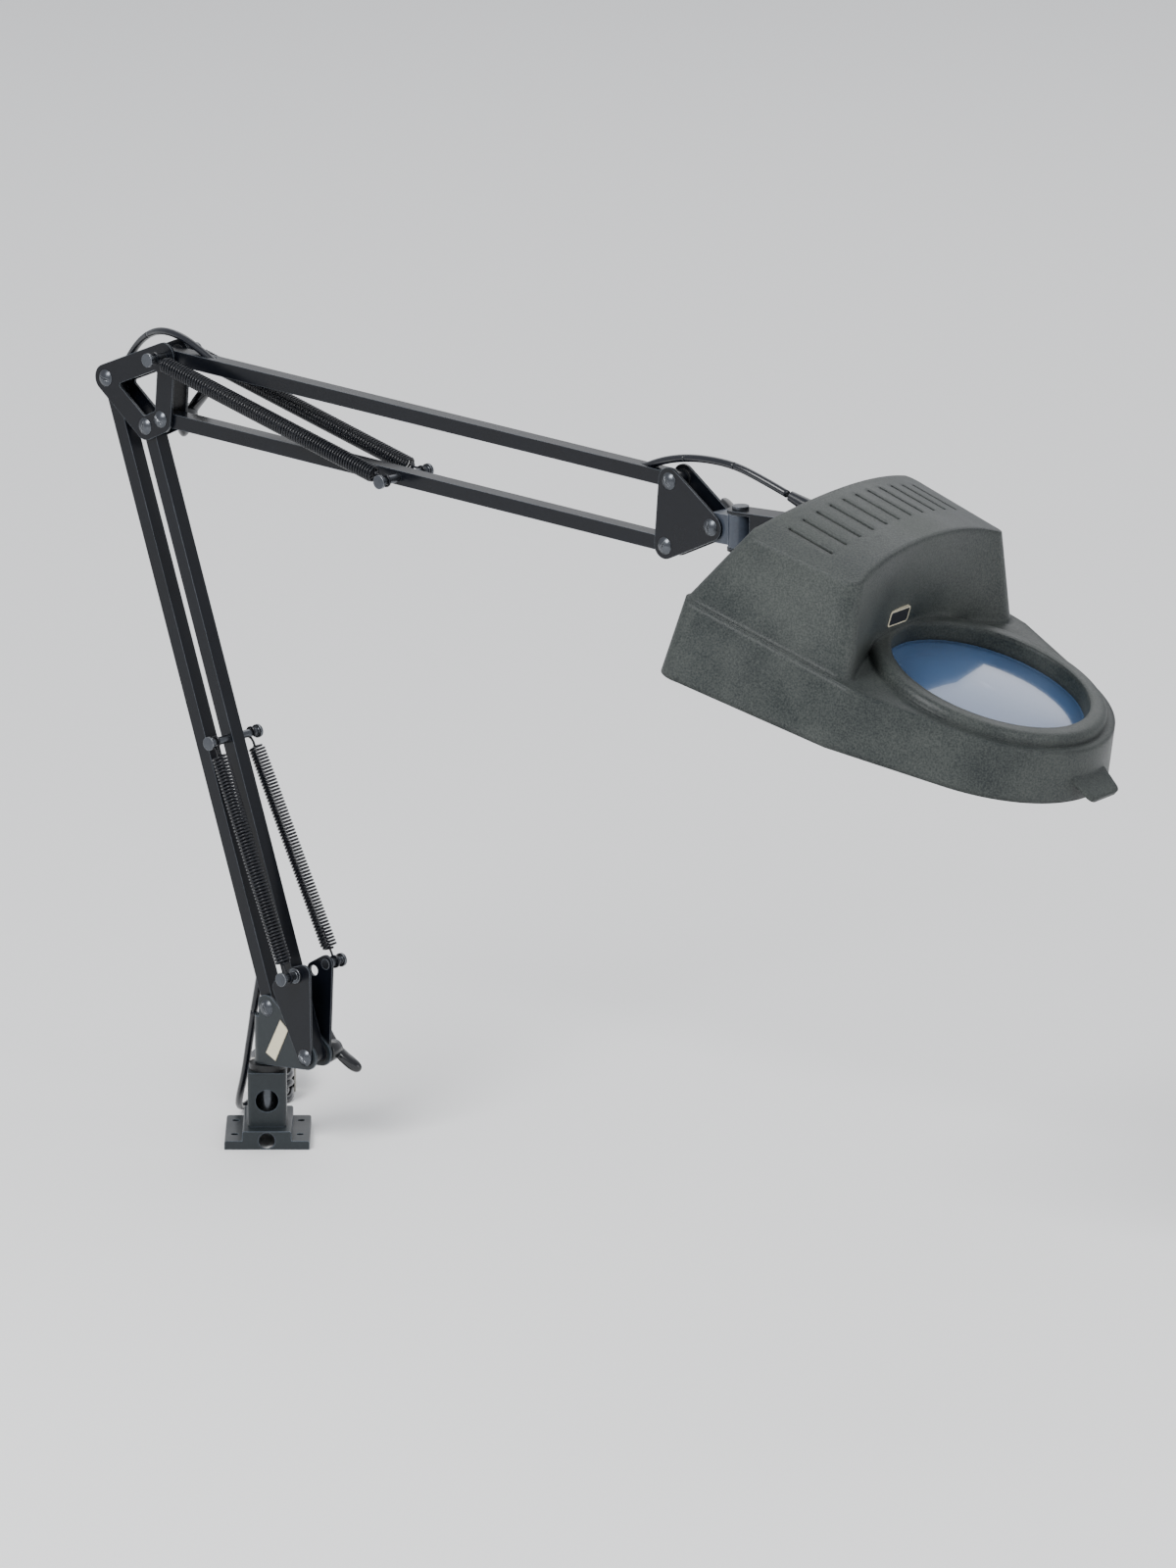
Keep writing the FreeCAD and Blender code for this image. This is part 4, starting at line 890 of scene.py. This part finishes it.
def springs() -> list[CoilSpring]:
    """Places the four springs.

    Returns:
        The springs, with their pins in arm-plane millimetres.
    """
    low_pin, high_pin, post = (-26.39, 249.58), (113.42, 433.03), (-74.81, 480.89)
    return [
        CoilSpring("lower_coil_near", "lower_spring_near", low_pin, (32.0, 111.5), -16.0, "near_spring"),
        CoilSpring("lower_coil_far", "lower_spring_far", low_pin, (41.5, 117.0), 16.0, "far_spring"),
        CoilSpring("upper_coil_near", "upper_spring_near", high_pin, post, -16.0, "upper_springs",
                   "upper_hooks"),
        CoilSpring("upper_coil_far", "upper_spring_far", high_pin, post, 16.0, "upper_springs",
                   "upper_hooks")]


# ---- wing knobs ------------------------------------------------------------
@dataclass
class WingKnob:
    """A moulded wing knob: a round hub and a saddle-topped pair of wings."""

    name: str
    node: str
    body: str
    pivot: tuple[float, float]
    turn: float
    hub_radius: float = 7.2
    start: float = 9.6
    hub_end: float = 19.0
    end: float = 27.0
    half: float = 20.0
    thick: float = 4.2
    waist: float = 0.72
    dip: float = 3.4
    rise: float = 4.6

    def build(self, wardrobe: Wardrobe) -> None:
        """Makes the knob in place of its plain solid.

        Args:
            wardrobe: Giver of materials.
        """
        parts = [self._hub(), self._wings()]
        piece = joined(self.name, [(self._placed(v), f) for v, f in parts])
        wardrobe.dress(piece, "knob_plastic")
        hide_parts(self.node)
        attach(piece, self.body)
        LOG.info("made %s", self.name)

    def _placed(self, points: np.ndarray) -> np.ndarray:
        """Turns points about the pivot's axis and moves them to their place.

        Args:
            points: Rows along the wings, along the axis and up, in millimetres.

        Returns:
            The placed points in metres.
        """
        c, s = math.cos(math.radians(self.turn)), math.sin(math.radians(self.turn))
        x = c * points[:, 0] + s * points[:, 2] + self.pivot[0]
        z = c * points[:, 2] - s * points[:, 0] + self.pivot[1]
        return arm_point(np.column_stack([x, points[:, 1], z]))

    def _hub(self) -> Mesh:
        """Turns the hub.

        It is a cone with rounded rims, from its start to inside the wings. Each place
        on the axis is a hair past the one before, so that the path has a direction.

        Returns:
            Vertices and quads.
        """
        wide, hair = self.hub_radius, 1e-4
        profile = np.array([
            (self.start, 0.05), (self.start, wide - 0.8), (self.start + 0.1, wide - 0.3),
            (self.start + 0.8, wide), (self.hub_end - 4, wide - 0.6), (self.hub_end + 1, wide - 1.4),
            (self.hub_end + 2.5, wide - 3.2)])
        path = np.zeros((len(profile), 3))
        path[:, 1] = profile[:, 0] + np.arange(len(profile)) * hair
        return sweep(path, profile[:, 1], 40, np.array([1.0, 0.0, 0.0]))

    def _wings(self) -> Mesh:
        """Shapes the wings.

        At share u from minus one to one along the wings the section is a rounded box
        (a superellipse of power 2.6). Its outer edge dips between the two lobes, its
        inner edge rises away from the hub, its thickness swells to the lobes, and its
        ends close as one less u to the sixth, to the power 0.4.

        Returns:
            Vertices and quads.
        """
        u = np.sin(np.linspace(-math.pi / 2, math.pi / 2, 49))
        shut = np.clip(1 - u ** 6, 0, 1) ** 0.4
        top = self.end - self.dip * np.cos(u * math.pi / 2) ** 2
        bottom = self.hub_end - 3.0 + self.rise * u ** 2
        middle, tall = (top + bottom) / 2, (top - bottom) / 2 * shut
        wide = self.thick * (self.waist + (1 - self.waist) * u ** 2) * shut
        turn = np.linspace(0, 2 * math.pi, 32, endpoint=False)
        c, s = np.cos(turn), np.sin(turn)
        c, s = np.sign(c) * np.abs(c) ** 0.77, np.sign(s) * np.abs(s) ** 0.77
        x = np.broadcast_to((u * self.half)[:, None], (len(u), len(turn)))
        y = middle[:, None] + tall[:, None] * s[None, :]
        z = wide[:, None] * c[None, :]
        verts = np.stack([x, y, z], axis=-1).reshape(-1, 3)
        return verts, grid_faces(len(u), len(turn))[:, ::-1]


def knobs() -> list[WingKnob]:
    """Gives the three knobs at their pivots."""
    return [WingKnob("yoke_wing_knob", "yoke_knob", "yoke_knob", (38.9, 61.0), 37),
            WingKnob("elbow_wing_knob", "elbow_knob", "elbow_knob", (-78.01, 441.39), -56),
            WingKnob("head_wing_knob", "head_knob", "head_knob", (361.21, 440.05), 25)]


# ---- badge -----------------------------------------------------------------
@dataclass
class BlankBadge:
    """A bare badge on the hood's front wall: a dark plate in a pale rounded frame."""

    wide: float = 22.0
    tall: float = 10.5
    corner: float = 2.2
    b: float = -12.0
    h: float = 21.0
    border: float = 1.1
    reach: tuple[float, float] = (6.0, 4.0)
    look_from: float = -20.0
    look_to: float = -120.0
    no_wall: float = -60.0

    def build(self, wardrobe: Wardrobe, hood: bpy.types.Object) -> None:
        """Makes the frame and the plate against the wall.

        Args:
            wardrobe: Giver of materials.
            hood: The hood's frame object, whose wall the badge lies on.
        """
        side, up = self.reach
        wall = [self._wall(hood, self.b + db, self.h + dh) for db in (-side, side) for dh in (-up, up)]
        a = float(max(wall))
        slope = (wall[1] + wall[3] - wall[0] - wall[2]) / (4 * up)
        for name, shrink, front, slot in (("badge_frame", 0.0, 0.5, "label"),
                                          ("badge_plate", self.border, 0.7, "retainer_plastic")):
            verts, faces = self._tablet(shrink, front, a, slope)
            piece = mesh_object(name, verts, faces, smooth=False)
            wardrobe.dress(piece, slot)
            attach(piece, "head")
            LOG.info("made %s", name)

    def _wall(self, hood: bpy.types.Object, b: float, h: float) -> float:
        """Finds the wall's forward distance at a place, looking back from the lens.

        Args:
            hood: The hood's frame object.
            b: Sideways distance of the place.
            h: Upward distance of the place.

        Returns:
            The forward distance in millimetres, or a usual one where nothing is met.
        """
        start = head_point(np.array([self.look_from, b, h]))[0]
        ahead = head_point(np.array([self.look_to, b, h]))[0] - start
        ahead /= np.linalg.norm(ahead)
        hit, place, _, _ = hood.ray_cast(tuple(start), tuple(ahead))
        if not hit:
            return self.no_wall
        return self.look_from - float(np.linalg.norm(np.array(place) - start)) / MM

    def _tablet(self, shrink: float, front: float, a: float, slope: float) -> Mesh:
        """Makes a thin rounded tablet: rings of a rounded rectangle, closed at back and front.

        Args:
            shrink: How far inside the frame's edge it lies.
            front: How far it stands in front of the wall.
            a: Forward distance of the wall.
            slope: Lean of the wall, forward distance for each upward step.

        Returns:
            Vertices and quads.
        """
        turn = np.linspace(0, 2 * math.pi, 64, endpoint=False)
        r = max(self.corner - shrink, 0.6)
        half = np.array([self.wide / 2 - shrink - r, self.tall / 2 - shrink - r])
        cs = np.column_stack([np.cos(turn), np.sin(turn)])
        edge = np.sign(np.round(cs, 6)) * half + r * cs
        depth = np.array([-1.0, -1.0, front - 0.15, front, front])
        scale = np.array([0.0, 1.0, 1.0, 0.97, 0.0])
        flat = edge[None, :, :] * scale[:, None, None]
        forward = a + depth[:, None] + slope * flat[:, :, 1]
        verts = np.stack([forward, self.b + flat[:, :, 0], self.h + flat[:, :, 1]], axis=-1)
        return head_point(verts.reshape(-1, 3)), grid_faces(len(scale), len(turn))


# ---- studio ----------------------------------------------------------------
@dataclass
class Studio:
    """Floor, soft lights, world and camera."""

    target: Place = (0.196, -0.150, 0.262)
    elevation: float = 14.0
    distance: float = 8.0
    lens: float = 308.0
    sky: Colour = (0.93, 0.95, 1.0, 1.0)
    sky_strength: float = 0.75
    floor_tone: Colour = (0.9, 0.9, 0.895, 1.0)

    def build(self) -> None:
        """Makes everything that isn't the object."""
        self._camera()
        self._floor()
        self._light("key", (-1.4, -2.2, 2.6), 1.4, 120.0)
        self._light("fill", (2.6, -2.0, 1.4), 2.4, 42.0)
        self._light("back", (0.6, 2.6, 3.0), 3.0, 44.0)
        world = bpy.data.worlds.new("studio")
        world.use_nodes = True
        sky = world.node_tree.nodes["Background"]
        sky.inputs["Color"].default_value = self.sky
        sky.inputs["Strength"].default_value = self.sky_strength
        bpy.context.scene.world = world

    def _camera(self) -> None:
        """Places the camera straight along the y axis at its elevation."""
        data = bpy.data.cameras.new("camera")
        data.lens = self.lens
        data.sensor_fit = "VERTICAL"
        data.sensor_height = 36.0
        data.clip_end = 50.0
        camera = bpy.data.objects.new("camera", data)
        tilt = math.radians(self.elevation)
        x, y, z = self.target
        camera.location = (x, y - self.distance * math.cos(tilt), z + self.distance * math.sin(tilt))
        camera.rotation_euler = (math.pi / 2 - tilt, 0, 0)
        bpy.context.scene.collection.objects.link(camera)
        bpy.context.scene.camera = camera

    def _floor(self) -> None:
        """Lays a wide plain pale floor."""
        corners = np.array([(-6, -6, 0), (6, -6, 0), (6, 10, 0), (-6, 10, 0)], float)
        floor = mesh_object("floor", corners, np.array([[0, 1, 2, 3]]), smooth=False)
        mat, _, shader = new_material("floor")
        shader.inputs["Base Color"].default_value = self.floor_tone
        shader.inputs["Roughness"].default_value = 0.9
        floor.data.materials.append(mat)

    def _light(self, name: str, place: Place, size: float, power: float) -> None:
        """Hangs a soft square light that looks at the target.

        Args:
            name: Name of the light.
            place: Where it hangs.
            size: Side length.
            power: Power in watts.
        """
        data = bpy.data.lights.new(name, "AREA")
        data.size = size
        data.energy = power
        light = bpy.data.objects.new(name, data)
        light.location = place
        away = np.array(place) - np.array(self.target)
        flat = math.hypot(away[0], away[1])
        light.rotation_euler = (math.atan2(flat, away[2]), 0, math.atan2(away[0], -away[1]))
        bpy.context.scene.collection.objects.link(light)


def main() -> None:
    """Builds the lamp's looks round its frame."""
    logging.basicConfig(level=logging.INFO)
    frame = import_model()
    Studio().build()
    wardrobe = Wardrobe()
    wardrobe.dress_frame(frame)
    MainsLead(wardrobe).build(frame)
    HeldCords(wardrobe).build()
    for spring in springs():
        spring.build(wardrobe)
    for knob in knobs():
        knob.build(wardrobe)
    BlankBadge().build(wardrobe, frame["nodes"]["hood"])


if __name__ == "__main__":
    main()
